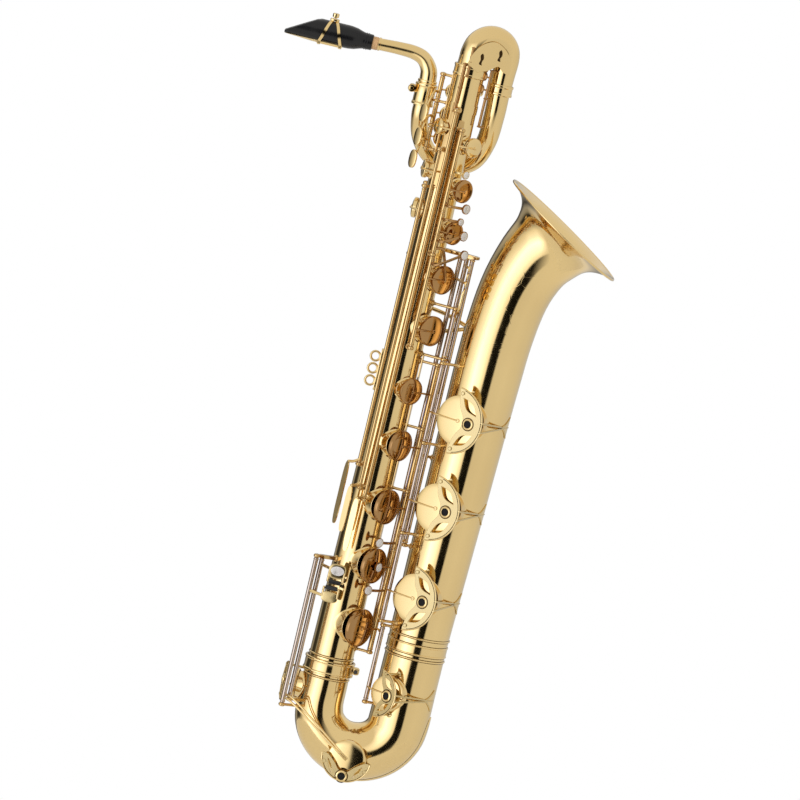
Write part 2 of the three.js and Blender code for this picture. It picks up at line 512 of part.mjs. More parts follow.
// ---- Key guards ----
// A guard stands over its key's cup where that cup stops: half a ring, a boss with a felt, and feet on the tube.
// It covers the side of the cup away from the hinge, turned down by `tilt`, and its boss stands off the cup's middle.
function guard(name, line, hole, lift, tube, { feet, tilt = 0, boss = 0.56 }) {
  const { rim, normal, cup } = hole;
  const away = normal.clone().cross(V(0, 0, 1));
  if (away.dot(rim.clone().sub(at(line, rim.z))) < 0) away.negate();
  const towards = (degrees) => {
    const turn = radians(degrees - tilt);
    return away.clone().multiplyScalar(Math.cos(turn)).add(V(0, 0, Math.sin(turn)));
  };
  const covers = towards(0);
  const angle = opening(line, hole, lift);
  const height = CUP + 3.6;
  const top = rim.clone().addScaledVector(normal, height);
  const along = (far, rise = 0) => top.clone().addScaledVector(covers, far).addScaledVector(normal, rise);
  const keep = bar(along(-0.1 * cup), along(100), 200, 200, normal);
  const half = solid(ring(cup * 0.68, cup + 6, 1.8, top, normal, 12)).intersect(solid(keep));
  const spoke = bar(along(boss * cup, 0.9), along(cup + 9.5, 0.9), 6, 1.8, normal);
  const seatOfFelt = turned([[0, 0], [8, 0], [8, 3.5], [0, 3.5]], along(boss * cup), normal, 6);
  const cross = towards(90).multiplyScalar(cup * 0.8);
  const bridge = bar(along(boss * cup, 0.9).sub(cross), along(boss * cup, 0.9).add(cross), 6, 1.8, normal);
  let made = swing(half.add(join(spoke, seatOfFelt, bridge)), line, angle);
  for (const degrees of feet) {
    const aim = towards(degrees);
    const seat = rim.clone().addScaledVector(aim, cup + 4.2).addScaledVector(normal, -30);
    const outer = cup + 4.2 + 23 * Math.abs(angle * aim.dot(away));
    const high = rim.clone().addScaledVector(aim, outer).addScaledVector(normal, height + 1)
      .sub(at(line, 0)).applyAxisAngle(V(0, 0, 1), angle).add(at(line, 0));
    made = made.add(solid(rod(seat, high, 2.3, 4)));
  }
  add(name, made.subtract(tube), BRASS);
}

function guards() {
  const bell = solid(bellSkin(GAP));
  const bow = solid(bowSkin(GAP));
  const threeFeet = { feet: [88, 0, -88] };
  guard("low_a_guard", BELL_KEYS, BELL_HOLES.lowA, 9, bell, threeFeet);
  guard("low_b_flat_guard", BELL_KEYS, BELL_HOLES.lowBFlat, 9, bell, threeFeet);
  guard("low_b_guard", BELL_KEYS, BELL_HOLES.lowB, 9, bell, threeFeet);
  guard("low_c_sharp_guard", C_SHARP, BOW_HOLES.cSharp, 7, bow, { feet: [80, 0, -80] });
  guard("low_c_guard", LOW_C, BOW_HOLES.c, 10, bow, { feet: [72, -72], tilt: 92, boss: 0.9 });
  guard("low_e_flat_guard", LOW_E_FLAT, BOW_HOLES.eFlat, 6, bow, { feet: [60, -60] });
}

// ---- Fittings ----
function fittings() {
  // The clamp that joins body and bow, split at a pair of lugs that its screw draws together.
  const clampRadius = BODY_RADIUS + 1 + GAP;
  const lugs = bar(V(clampRadius - 1, 0, -2), V(clampRadius + 10, 0, -2), 10, 10, V(0, 0, 1));
  const slit = bar(V(20, 0, -2), V(60, 0, -2), 60, 2.4, V(0, 1, 0));
  const screwHole = rod(V(38.5, -8, -2), V(38.5, 8, -2), ROD + GAP, 8);
  add("bow_clamp_ring", join(ring(clampRadius, clampRadius + 2.4, 20, V(0, 0, -12), V(0, 0, 1), 18), lugs)
    .subtract(join(slit, screwHole)), BRASS);
  add("bow_clamp_screw", join(rod(V(38.5, -5.5, -2), V(38.5, 6.5, -2), ROD, 8),
    rod(V(38.5, -10, -2), V(38.5, -5.4, -2), 3.6, 10)), STEEL, screwTurn(V(38.5, -2, -2)));

  // The receiver over the top of the loop, which grips the neck's tenon, with its stay to the body tube.
  const socket = ring(12.6, 15.2, 31, V(-55, 16, 795), V(0, 0, 1), 14);
  const stay = bar(V(-43, 19, 806), V(-8, 17, 806), 9, 3, V(0, 0, 1));
  const neckLugs = bar(V(-69, 16, 816), V(-78, 16, 816), 10, 11, V(0, 0, 1));
  const neckSlit = bar(V(-60, 16, 820), V(-90, 16, 820), 24, 2.4, V(0, 1, 0));
  const knobAt = V(-74, 16, 816);
  const through = (a, b, radius, sides) => rod(knobAt.clone().setY(a), knobAt.clone().setY(b), radius, sides);
  add("neck_receiver", join(socket, stay, neckLugs)
    .subtract(join(rod(V(-55, 16, 780), V(-55, 16, 840), 12.6, 14), neckSlit, through(5, 27, ROD + GAP, 8)))
    .subtract(solid(bodySkin(GAP))), BRASS);
  add("neck_clamp_screw", join(through(9, 22.5, ROD, 8), through(3, 9.7, 5.5, 10)), BRASS, screwTurn(knobAt.clone().setY(9)));

  // A soldered stay between body and bell, behind the rods.
  const corners = [V(14, 16, 522), V(14, 16, 488), V(88, 24, 505)];
  const stays = corners.map((p, i) => rod(p, corners[(i + 1) % 3], 3, 6));
  add("bell_brace", join(stays.slice(1)).subtract(solid(bellSkin(GAP))).subtract(solid(bodySkin(GAP))), BRASS);

  // The plate that takes the knocks at the foot of the bow.
  const shell = sweep(bowCurve, bowStations, 16, (u) => bowRadius(u) + 2, (u) => bowRadius(u) + GAP);
  const strip = solid(new THREE.BoxGeometry(105, 30, 130).translate(122, 0, -110));
  const hollowOf = solid(rod(V(56, -60, -50), V(56, 60, -50), 78, 24));
  add("bow_guard_plate", solid(shell).intersect(strip).subtract(hollowOf), BRASS);

  // Three eyes for the strap, in a row on one plate.
  const eyes = [-17.5, 0, 17.5].map((up) => {
    const eye = new THREE.TorusGeometry(6.6, 1.7, 5, 10);
    return eye.rotateX(Math.PI / 2).translate(STRAP_EYE[0], 0, STRAP_EYE[2] + up);
  });
  const eyePlate = bar(V(-28, 0, STRAP_EYE[2] - 30), V(-28, 0, STRAP_EYE[2] + 30), 4.4, 11, V(0, 1, 0));
  add("strap_ring", join(eyePlate, eyes).subtract(solid(bodySkin(GAP))), BRASS);

  const rest = bar(V(0, 26, 629), V(0, 26, 651), 24, 5, V(0, 1, 0));
  add("thumb_rest", solid(rest).subtract(solid(bodySkin(GAP))), EBONITE);
  const hookPlate = bar(V(0, 30, 236), V(0, 30, 264), 15, 5, V(0, 1, 0));
  add("thumb_hook", join(hookPlate, arm([V(0, 30, 258), V(0, 45, 262), V(0, 55, 256), V(0, 58, 244), V(0, 54, 236)], 3.4))
    .subtract(solid(bodySkin(GAP))), BRASS);

  const spout = V(-14, 45.6, 708.4);
  add("water_key", join(rod(spout.clone().add(V(0, 0, -3.5)), spout.clone().add(V(0, 0, -1)), 4.5, 8),
    arm([spout.clone().add(V(0, 0, -2.5)), V(0, 46, 702), V(10, 46, 700)], 1.6), rod(V(0, 42, 702), V(0, 50, 702), 2, 6)),
    BRASS, { type: "hinge", pos: V(0, 46, 702), axis: V(0, -1, 0), range: [0, 0.3], spring: true });
}

const screwTurn = (pos) => ({ type: "hinge", pos, axis: V(0, 1, 0), continuous: true });

// ---- Neck and mouthpiece ----
function neckAndMouthpiece() {
  const swivel = { type: "hinge", pos: V(-55, 16, 815), axis: V(0, 0, 1), range: [-0.35, 0.35], stays: true };
  add("neck", join(sweep(neckCurve, evenly(11), 9, neckRadius, (u) => neckRadius(u) - WALL))
    .add(solid(ring(11.6, 13.4, 4, V(-55, 16, 827), V(0, 0, 1), 9))), BRASS, swivel);
  const alongMouth = (profile, x, sides) => turned(profile, V(x, ...MOUTH_AXIS), V(-1, 0, 0), sides);
  add("neck_cork", solid(alongMouth([[7.7, 0], [9.2, 0], [9.2, 34], [7.7, 34], [7.7, 0]], -134, 12)), CORK);

  // The mouthpiece: a turned body, cut to a beak above and a flat table below, with bore, chamber and window.
  const body = solid(alongMouth([[0, 0], [11, 0], [11.4, 12], [16.3, 36], [16.3, 80], [15.2, 123], [0, 123]], -142, 16));
  const slope = Math.atan2(25.5, 44);
  const beakCut = new THREE.BoxGeometry(90, 60, 40).translate(-45, 0, 20).rotateY(-slope).translate(-221, 16, 879.5);
  const tableCut = new THREE.BoxGeometry(90, 60, 20).translate(-45, 0, -10).translate(-185, 16, 850.4);
  const bore = alongMouth([[0, -1], [9.5, -1], [9.5, 34], [7.5, 36], [7.5, 70], [0, 70]], -142, 12);
  const window = new THREE.BoxGeometry(40, 12, 11).translate(-232, 16, 855);
  add("mouthpiece", body.subtract(join(beakCut)).subtract(join(tableCut)).subtract(join(bore, window)), EBONITE,
    { type: "slide", pos: V(-142, ...MOUTH_AXIS), axis: V(-1, 0, 0), range: [0, 6], stays: true });

  // The reed tapers to nothing at its tip.
  const reedSide = new THREE.Shape([[-264.5, 849.8], [-264.5, 849.5], [-225, 847], [-192, 846.6], [-192, 850.1],
    [-200, 850.1]].map(([x, z]) => new THREE.Vector2(x, z)));
  const reed = new THREE.ExtrudeGeometry(reedSide, { depth: 17, bevelEnabled: false }).rotateX(Math.PI / 2);
  add("reed", solid(reed.translate(0, 16 + 8.5, 0)), CANE);

  // The ligature hugs mouthpiece and reed together.
  const loop = (grow, from, to) => wasm.Manifold.hull([
    solid(rod(V(from, ...MOUTH_AXIS), V(to, ...MOUTH_AXIS), 16.3 + grow, 16)),
    solid(new THREE.BoxGeometry(to - from, 17 + 2 * grow, 4).translate((from + to) / 2, 16, 848.6 - grow)),
  ]);
  const windowCut = join(rod(V(-200, -10, 862), V(-200, 42, 862), 9, 4));
  const saddle = new THREE.BoxGeometry(24, 8, 4).translate(-200, 16, 882.6);
  add("ligature", loop(1.5, -217, -183).add(solid(saddle)).subtract(windowCut).subtract(loop(GAP, -219, -181)), BRASS);
  add("ligature_screw", join(rod(V(-200, 16, 884.9), V(-200, 16, 886), 2.4, 8), rod(V(-200, 16, 886), V(-200, 16, 892), 4.6, 10)),
    BRASS, { type: "hinge", pos: V(-200, 16, 886), axis: V(0, 0, 1), continuous: true });
}

// ---- Rollers ----
function rollers() {
  const half = ROLLER.length / 2;
  const roller = (x, z) => rod(V(x - half, ROLLER.y, z), V(x + half, ROLLER.y, z), ROLLER.radius, 10);
  const turns = (x, z, line, turn) => {
    const pos = V(x, ROLLER.y, z).sub(at(line, 0)).applyAxisAngle(V(0, 0, 1), turn).add(at(line, 0));
    return { type: "hinge", pos, axis: V(1, 0, 0).applyAxisAngle(V(0, 0, 1), turn), continuous: true };
  };
  const rests = opening(LOW_C, BOW_HOLES.c, 10);
  add("c_roller", swing(solid(roller(-20, 113)), LOW_C, rests), BLACK_ROLLER, turns(-20, 113, LOW_C, rests));
  add("e_flat_roller", solid(roller(-19, 121.5)), BLACK_ROLLER, turns(-19, 121.5, LOW_E_FLAT, 0));
}

tubes();
stacks();
bellKeys();
lowKeys();
sideKeys();
guards();
fittings();
neckAndMouthpiece();
rollers();

export default group;
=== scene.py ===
"""A low-A baritone saxophone in lacquered brass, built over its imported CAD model.

Shapes are worked out in millimetres in the instrument's own frame, as in the CAD. Its origin is on the
body tube's axis at the tube's foot, +Z is up the tube and +X is towards the bell. `place` turns that into
the row frame."""
import math

import bmesh
import bpy
from mathutils import Matrix, Quaternion, Vector


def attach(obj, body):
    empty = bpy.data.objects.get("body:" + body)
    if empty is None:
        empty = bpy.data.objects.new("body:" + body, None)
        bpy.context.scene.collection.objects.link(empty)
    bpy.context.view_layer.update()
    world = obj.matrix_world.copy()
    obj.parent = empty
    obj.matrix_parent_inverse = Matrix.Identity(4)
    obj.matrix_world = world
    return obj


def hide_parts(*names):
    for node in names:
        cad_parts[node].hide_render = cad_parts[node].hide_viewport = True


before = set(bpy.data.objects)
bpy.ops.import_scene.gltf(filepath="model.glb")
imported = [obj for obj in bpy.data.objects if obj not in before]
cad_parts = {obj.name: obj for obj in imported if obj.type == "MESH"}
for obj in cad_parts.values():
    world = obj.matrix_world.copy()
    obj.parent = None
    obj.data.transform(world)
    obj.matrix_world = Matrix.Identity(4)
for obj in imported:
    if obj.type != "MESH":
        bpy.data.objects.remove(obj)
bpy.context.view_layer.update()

STRAP_EYE = Vector((-37, 0, 422))  # the middle strap ring, which is the row frame's origin
GAP = 0.3  # between pieces that touch
WALL = 1.0  # sheet brass
BODY_TOP = 858  # length of the body tube
CHIMNEY = 5  # height of a tone hole's rim over its tube
CUP = 8  # height of a pad cup over that rim
TUBE = 3.3  # radius of a hinge tube
HEAD = 2.6  # half height of a post's head
BELL_FOOT = 56  # where the bell leaves the bow
RIM_CENTRE = Vector((178, 0, 672.5))  # the bell's mouth

# Vertical hinge lines, as x and y.
LOWER_STACK = (51, -11)
UPPER_STACK = (8, -38)
BELL_KEYS = (57, -33)
C_SHARP = (61, -22)
LOW_C = (-52, -31)
LOW_E_FLAT = (-44, -25)
SIDE_B_FLAT = (-25, -26)
SIDE_C = (-16, -32.5)
HIGH_E = (-6, -36)
PALM = (-35.6, 5)
OCTAVE_THUMB = (-24, 27)
OCTAVE_VENT = (-4, 37)
TABLE_B_FLAT = (56, 2)
TABLE_B = (64, -7)
TABLE_C_SHARP = (47, 6)
LOW_A_LEVER = (20, 31)
G_SHARP_LEVER = (57, -14)
UP = Vector((0, 0, 1))


def V(x, y, z):
    return Vector((x, y, z))


def at(line, z):
    return Vector((line[0], line[1], z))


def place(p):
    return (Vector(p) - STRAP_EYE) / 1000


def outward(degrees):
    turn = math.radians(degrees)
    return Vector((math.sin(turn), -math.cos(turn), 0))


def body_radius(z):
    return 31.5 - 0.0125 * z


def bell_axis_x(z):
    return 113.8 + 0.0183 * (z - BELL_FOOT)


def bell_tube_radius(z):
    return 42 + 0.0145 * (z - BELL_FOOT)


def mix(stops, u):
    for (u0, v0), (u1, v1) in zip(stops, stops[1:]):
        if u <= u1:
            return v0 + (v1 - v0) * (u - u0) / (u1 - u0)
    return stops[-1][1]


# ---- Curves ----
def spline(points, steps=8):
    """A smooth line through the points, evenly stepped."""
    pts = [Vector(p) for p in points]
    if len(pts) == 2:
        return [pts[0].lerp(pts[1], i / steps) for i in range(steps + 1)]
    ends = [2 * pts[0] - pts[1], *pts, 2 * pts[-1] - pts[-2]]
    made = []
    for a, b, c, d in zip(ends, ends[1:], ends[2:], ends[3:]):
        for i in range(steps):
            t = i / steps
            made.append(0.5 * ((2 * b) + (c - a) * t + (2 * a - 5 * b + 4 * c - d) * t**2
                               + (3 * b - a - 3 * c + d) * t**3))
    return [*made, pts[-1]]


def stations(points, shares):
    """Points of a line at the given shares of its length."""
    lengths = [0.0]
    for a, b in zip(points, points[1:]):
        lengths.append(lengths[-1] + (b - a).length)
    made, k = [], 0
    for share in shares:
        want = lengths[-1] * share
        while k < len(points) - 2 and lengths[k + 1] < want:
            k += 1
        made.append(points[k].lerp(points[k + 1], min(1,
                                                      (want - lengths[k]) / (lengths[k + 1] - lengths[k]))))
    return made


def turns(count):
    """The angles of evenly spaced points round a circle."""
    return [2 * math.pi * i / count for i in range(count)]


def evenly(count):
    return [i / count for i in range(count + 1)]


def fillet(profile, radius, steps=4, closed=True):
    """Rounds the corners of a flat outline of (x, y) pairs."""
    pts = [Vector((x, y)) for x, y in profile]
    made = []
    count = len(pts)
    for i, p in enumerate(pts):
        if not closed and i in (0, count - 1):
            made.append(p)
            continue
        a, b = pts[i - 1] - p, pts[(i + 1) % count] - p
        reach = min(radius, a.length * 0.45, b.length * 0.45)
        start, end = p + a.normalized() * reach, p + b.normalized() * reach
        made += [start.lerp(p, t).lerp(p.lerp(end, t), t) for t in (k / steps for k in range(steps + 1))]
    return made


class Shape:
    """Closed shells gathered into one mesh."""

    def __init__(self):
        self.verts, self.faces = [], []

    def add(self, verts, faces):
        first = len(self.verts)
        self.verts += [Vector(v) for v in verts]
        self.faces += [tuple(i + first for i in f) for f in faces]
        return self

    def grid(self, rings, wrap_rings=False, caps=True):
        """Skins rings of equal length; open ends are capped."""
        n, m = len(rings[0]), len(rings)
        faces = []
        for s in range(m if wrap_rings else m - 1):
            for i in range(n):
                j, t = (i + 1) % n, (s + 1) % m
                faces.append((s * n + i, s * n + j, t * n + j, t * n + i))
        if caps and not wrap_rings:
            faces += [tuple(reversed(range(n))), tuple((m - 1) * n + i for i in range(n))]
        return self.add([p for ring in rings for p in ring], faces)

    def lathe(self, profile, base, direction, n=32):
        """Turns a profile of (radius, height) pairs about an axis. It closes on the axis or on itself."""
        turn = UP.rotation_difference(Vector(direction))
        base = Vector(base)
        closes = min(profile[0][0], profile[-1][0]) > 1e-6
        inner = [p for p in profile if p[0] > 1e-6]
        rings = []
        for r, h in inner:
            rings.append([base + turn @ Vector((r * math.cos(a), r * math.sin(a), h))
                          for a in turns(n)])
        return self.grid(rings, wrap_rings=closes)

    def sweep(self, points, sides, outer, inner=None, flat=1.0, up=None):
        """A bar along points, or a pipe with an inner radius. A radius is one number or one per point."""
        count = len(points)
        outer = [outer] * count if isinstance(outer, (int, float)) else outer
        tangents = []
        for i in range(count):
            tangents.append((points[min(count - 1, i + 1)] - points[max(0, i - 1)]).normalized())
        seed = up or (V(0, 1, 0) if abs(tangents[0].y) < 0.9 else V(1, 0, 0))
        normal = (seed - tangents[0] * seed.dot(tangents[0])).normalized()
        frames = []
        for i, t in enumerate(tangents):
            if i:
                normal = tangents[i - 1].rotation_difference(t) @ normal
                normal = (normal - t * normal.dot(t)).normalized()
            frames.append((normal.copy(), t.cross(normal)))

        def ring(i, r):
            across, side = frames[i]
            return [points[i] + across * (r * flat * math.cos(a)) + side * (r * math.sin(a))
                    for a in turns(sides)]

        rings = [ring(i, outer[i]) for i in range(count)]
        if inner is None:
            return self.grid(rings)
        rings += [ring(i, inner[i]) for i in range(count - 1, -1, -1)]
        return self.grid(rings, wrap_rings=True)

    def rod(self, p, q, radius, sides=16, end=None, round_off=0.4):
        """A turned bar with softened ends."""
        p, q = Vector(p), Vector(q)
        length = (q - p).length
        end = radius if end is None else end
        profile = fillet([(0, 0), (radius, 0), (end, length), (0, length)], round_off, 3, closed=False)
        return self.lathe([tuple(v) for v in profile], p, q - p, sides)

    def wire(self, points, radius=1.8, flat=0.75, up=None, tip=1.0, steps=6):
        """A key arm: a smooth bar, a little flattened, with rounded ends, that may thin towards its tip."""
        line = spline(points, steps)
        last = len(line) - 1
        width = [radius * (1 + (tip - 1) * i / last) for i in range(last + 1)]
        first, final = (line[1] - line[0]).normalized(), (line[-1] - line[-2]).normalized()
        for share, out in ((0.75, 0.5), (0.35, 0.8)):
            line = [points[0] - first * radius * out, *line, points[-1] + final * width[-1] * out]
            width = [radius * share, *width, radius * tip * share]
        return self.sweep(line, 12, width, flat=flat, up=up)

    def slab(self, outline, thickness, centre, right, top, edge=0.6, dome=0.0):
        """A flat plate with softened edges: the outline is in the plane of `right` and `top`."""
        centre, right, top = Vector(centre), Vector(right).normalized(), Vector(top).normalized()
        face = right.cross(top)
        middle = sum((Vector(p) for p in outline), Vector((0, 0))) / len(outline)
        half = thickness / 2
        layers = [(-half, edge), (-half, 0.3 * edge), (-half + edge, 0), (half - edge, 0),
                  (half - 0.3 * edge, 0.3 * edge), (half, edge)]
        rings = []
        for h, inset in layers:
            rings.append([centre + face * h + right * q.x + top * q.y
                          for q in (Vector(p) - (Vector(p) - middle).normalized() * inset for p in outline)])
        if dome:
            for share in (0.75, 0.45, 0.15):
                rings.append([centre + face * (half + dome * (1 - share**2)) + right * q.x + top * q.y
                              for q in (middle + (Vector(p) - middle) * share for p in outline)])
        return self.grid(rings)

    def swing(self, line, angle):
        pivot = at(line, 0)
        turn = Quaternion(UP, angle)
        self.verts = [turn @ (v - pivot) + pivot for v in self.verts]
        return self

    def make(self, name, body, material, replaces=(), sharp=32):
        """Makes an object on a body. One that stands for CAD nodes hides them."""
        mesh = bpy.data.meshes.new(name)
        mesh.from_pydata([place(v) for v in self.verts], [], self.faces)
        mesh.validate()
        mesh.materials.append(material)
        obj = bpy.data.objects.new(name, mesh)
        bpy.context.scene.collection.objects.link(obj)
        mesh.shade_smooth()
        mesh.set_sharp_from_angle(angle=math.radians(sharp))
        fix_outward(mesh)
        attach(obj, body)
        if replaces:
            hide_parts(*replaces)
            SLOTS.get(material.name.split(".")[0], "lacquered_brass")
        return obj


def fix_outward(mesh):
    bm = bmesh.new()
    bm.from_mesh(mesh)
    bmesh.ops.recalc_face_normals(bm, faces=bm.faces)
    bm.to_mesh(mesh)
    bm.free()


def stadium(width, height, power=2.6, count=32):
    """A rounded outline between an ellipse and a rectangle."""
    made = []
    for a in turns(count):
        c, s = math.cos(a), math.sin(a)
        made.append((width / 2 * math.copysign(abs(c) ** (2 / power), c),
                     height / 2 * math.copysign(abs(s) ** (2 / power), s)))
    return made


# ---- Materials ----
# The slot of each material; all others are lacquered brass. Blender numbers a name that is already taken.
SLOTS = {"polished_steel": "steel", "ebonite": "ebonite", "neck_cork": "cork", "reed_cane": "cane",
         "black_roller": "roller_black"}
POLISHED = (0.07, 0.13)
LACQUER = (0.82, 0.60, 0.27), (0.87, 0.65, 0.30)
ENGRAVING_CENTRE = (0.172, -0.05, 0.125)


class Look:
    """A small helper to write a material's nodes."""

    def __init__(self, name, metallic=0.0, coat=0.0, coat_roughness=0.03):
        self.material = bpy.data.materials.new(name)
        self.material.use_nodes = True
        self.tree = self.material.node_tree
        self.shader = self.tree.nodes["Principled BSDF"]
        self.shader.inputs["Metallic"].default_value = metallic
        self.shader.inputs["Coat Weight"].default_value = coat
        self.shader.inputs["Coat Roughness"].default_value = coat_roughness
        self.shader.inputs["IOR"].default_value = 1.5
        self.coords = self.tree.nodes.new("ShaderNodeTexCoord")

    def node(self, kind, **inputs):
        made = self.tree.nodes.new("ShaderNode" + kind)
        for key, value in inputs.items():
            made.inputs[key.replace("_", " ")].default_value = value
        return made

    def link(self, a, b):
        self.tree.links.new(a, b)

    def stretched(self, scale):
        made = self.node("Mapping", Scale=scale)
        self.link(self.coords.outputs["Object"], made.inputs["Vector"])
        return made.outputs["Vector"]

    def noise(self, scale, detail=4.0, stretch=(1, 1, 1), roughness=0.5):
        made = self.node("TexNoise", Scale=scale, Detail=detail, Roughness=roughness)
        self.link(self.stretched(stretch), made.inputs["Vector"])
        return made.outputs["Fac"]

    def ramp(self, value, stops, target):
        made = self.node("ValToRGB")
        while len(made.color_ramp.elements) < len(stops):
            made.color_ramp.elements.new(0.5)
        for element, (position, colour) in zip(made.color_ramp.elements, stops):
            element.position = position
            element.color = (*colour, 1) if isinstance(colour, tuple) else (colour, colour, colour, 1)
        self.link(value, made.inputs["Fac"])
        self.link(made.outputs["Color"], self.shader.inputs[target])

    def bump(self, value, strength, distance):
        made = self.node("Bump", Strength=strength, Distance=distance)
        self.link(value, made.inputs["Height"])
        self.link(made.outputs["Normal"], self.shader.inputs["Normal"])


def polish(name, dark, light, rough=POLISHED, coat=0.35):
    """Metal that drifts a little in colour and in polish from place to place."""
    look = Look(name, metallic=1.0, coat=coat)
    look.ramp(look.noise(9, 5), [(0.3, dark), (0.7, light)], "Base Color")
    look.ramp(look.noise(60, 6, roughness=0.65), [(0.35, rough[0]), (0.75, rough[1])], "Roughness")
    return look


def metal(name, dark, light, rough=POLISHED, coat=0.35, bump=0.02):
    look = polish(name, dark, light, rough, coat)
    look.bump(look.noise(900, 2, (1, 1, 0.15)), bump, 0.0002)
    return look.material


BRASS = metal("lacquered_brass", *LACQUER)
# A darker, more orange copy of the lacquered brass for posts, ribs and key tubes: painted shade of the
# mechanism, not another alloy.
HALF_SHADED_BRASS = metal("key_brass", (0.60, 0.39, 0.15), (0.71, 0.48, 0.195))
# A much darker, redder copy of the brass for the stack keys and the upper bend's rods: painted shade of the
# crowded mechanism.
SHADOWED_BRASS = metal("cup_brass", (0.36, 0.19, 0.065), (0.50, 0.28, 0.10), (0.06, 0.12))
# Brass for the key guards and pinky plates: the rougher polish is a satin finish; the darker base colour is
# painted shade that holds them below the tubes' highlights.
SATIN_SHADED_BRASS = metal("satin_brass", (0.60, 0.46, 0.215), (0.68, 0.525, 0.25), (0.16, 0.24), 0.2, 0.05)
# Greyish brown metal for long rods and the levers' steel tubes: partly their own grey, partly painted
# reflection of the dark mechanism around them.
ROD_BRASS = metal("shaded_rod_metal", (0.46, 0.36, 0.28), (0.58, 0.47, 0.38), (0.12, 0.22), 0.15, 0.05)
# SHADE: nearly black brass that paints shade: the dark lines beside the rings, round the guards, and behind
# the upper plate's slots.
SHADE = metal("darkened_brass", (0.05, 0.028, 0.01), (0.09, 0.05, 0.02), (0.35, 0.5), 0.0, 0.05)
STEEL = metal("polished_steel", (0.52, 0.50, 0.47), (0.62, 0.60, 0.57), (0.14, 0.24), 0.0, 0.05)
BLUED = metal("blued_steel", (0.05, 0.07, 0.16), (0.09, 0.12, 0.25), (0.2, 0.3), 0.0, 0.02)


def engraved_brass():
    """The bell's brass, with faint curved lines cut into its front below the flare."""
    look = polish("engraved_brass", *LACQUER)
    cells = look.node("TexVoronoi", Scale=38.0)
    cells.feature = "DISTANCE_TO_EDGE"
    wobble = look.node("TexNoise", Scale=16.0, Detail=2.0)
    look.link(look.coords.outputs["Object"], wobble.inputs["Vector"])
    moved = look.node("VectorMath")
    moved.operation = "MULTIPLY_ADD"
    moved.inputs[1].default_value = (0.05, 0.05, 0.05)
    look.link(wobble.outputs["Color"], moved.inputs[0])
    look.link(look.coords.outputs["Object"], moved.inputs[2])
    look.link(moved.outputs["Vector"], cells.inputs["Vector"])
    cut = look.node("MapRange", From_Min=0.0, From_Max=0.022, To_Min=1.0, To_Max=0.0)
    look.link(cells.outputs["Distance"], cut.inputs["Value"])
    apart = look.node("VectorMath")
    apart.operation = "DISTANCE"
    apart.inputs[1].default_value = ENGRAVING_CENTRE
    look.link(look.coords.outputs["Object"], apart.inputs[0])
    fade = look.node("MapRange", From_Min=0.045, From_Max=0.085, To_Min=1.0, To_Max=0.0)
    look.link(apart.outputs["Value"], fade.inputs["Value"])
    both = look.node("Math")
    both.operation = "MULTIPLY"
    look.link(cut.outputs["Result"], both.inputs[0])
    look.link(fade.outputs["Result"], both.inputs[1])
    look.bump(both.outputs["Value"], 0.14, 0.0003)
    return look.material


BELL_BRASS = engraved_brass()


def ebonite():
    look = Look("ebonite", coat=0.18, coat_roughness=0.08)
    look.shader.inputs["Specular IOR Level"].default_value = 0.25
    look.ramp(look.noise(40), [(0.3, (0.004, 0.004, 0.005)), (0.8, (0.010, 0.010, 0.010))], "Base Color")
    look.ramp(look.noise(120, 6), [(0.3, 0.16), (0.8, 0.3)], "Roughness")
    look.bump(look.noise(1400, 2), 0.06, 0.0002)
    return look.material


def cork():
    look = Look("neck_cork")
    look.ramp(look.noise(420, 8, roughness=0.75), [(0.28, (0.12, 0.055, 0.02)), (0.42, (0.50, 0.29, 0.13)),
                                                   (0.8, (0.68, 0.44, 0.22))], "Base Color")
    look.ramp(look.noise(200), [(0.3, 0.55), (0.8, 0.8)], "Roughness")
    look.bump(look.noise(700, 6), 0.5, 0.0006)
    return look.material


def cane():
    look = Look("reed_cane")
    look.ramp(look.noise(90, 6, (0.06, 1, 1)), [(0.3, (0.55, 0.40, 0.18)), (0.75, (0.80, 0.65, 0.38))],
              "Base Color")
    look.ramp(look.noise(300), [(0.3, 0.4), (0.8, 0.6)], "Roughness")
    look.bump(look.noise(700, 3, (0.03, 1, 1)), 0.3, 0.0004)
    return look.material


def pearl():
    look = Look("mother_of_pearl", coat=0.8, coat_roughness=0.02)
    look.ramp(look.noise(160, 3, (1, 1, 0.4)), [(0.25, (0.42, 0.40, 0.37)), (0.45, (0.66, 0.64, 0.60)),
                                                (0.6, (0.60, 0.56, 0.54)), (0.8, (0.78, 0.77, 0.74))],
              "Base Color")
    look.ramp(look.noise(300), [(0.3, 0.15), (0.8, 0.3)], "Roughness")
    look.shader.inputs["Sheen Weight"].default_value = 0.15
    return look.material


def soft(name, dark, light, scale, rough, bump):
    look = Look(name)
    look.ramp(look.noise(scale, 7, roughness=0.7), [(0.3, dark), (0.75, light)], "Base Color")
    look.ramp(look.noise(scale * 0.5), [(0.3, rough), (0.8, min(1, rough + 0.15))], "Roughness")
    look.bump(look.noise(scale * 2, 5), bump, 0.0005)
    return look.material


EBONITE, CORK, CANE, PEARL = ebonite(), cork(), cane(), pearl()
LEATHER = soft("pad_leather", (0.28, 0.13, 0.055), (0.42, 0.23, 0.11), 260, 0.5, 0.35)
FELT = soft("black_felt", (0.002, 0.002, 0.002), (0.009, 0.008, 0.008), 900, 0.9, 0.8)
BLACK = soft("black_roller", (0.006, 0.006, 0.006), (0.012, 0.012, 0.012), 90, 0.15, 0.02)


# ---- Tone holes ----
def hole(axis, radius, angle, z, bore, cup, along=UP):
    """A tone hole: its rim stands CHIMNEY over the crest of a tube of that radius, which runs `along`."""
    normal = outward(angle)
    rim = Vector(axis) + normal * (radius + CHIMNEY)
    rim.z = z
    return {"rim": rim, "normal": normal, "bore": bore, "cup": cup, "radius": radius, "along": along}


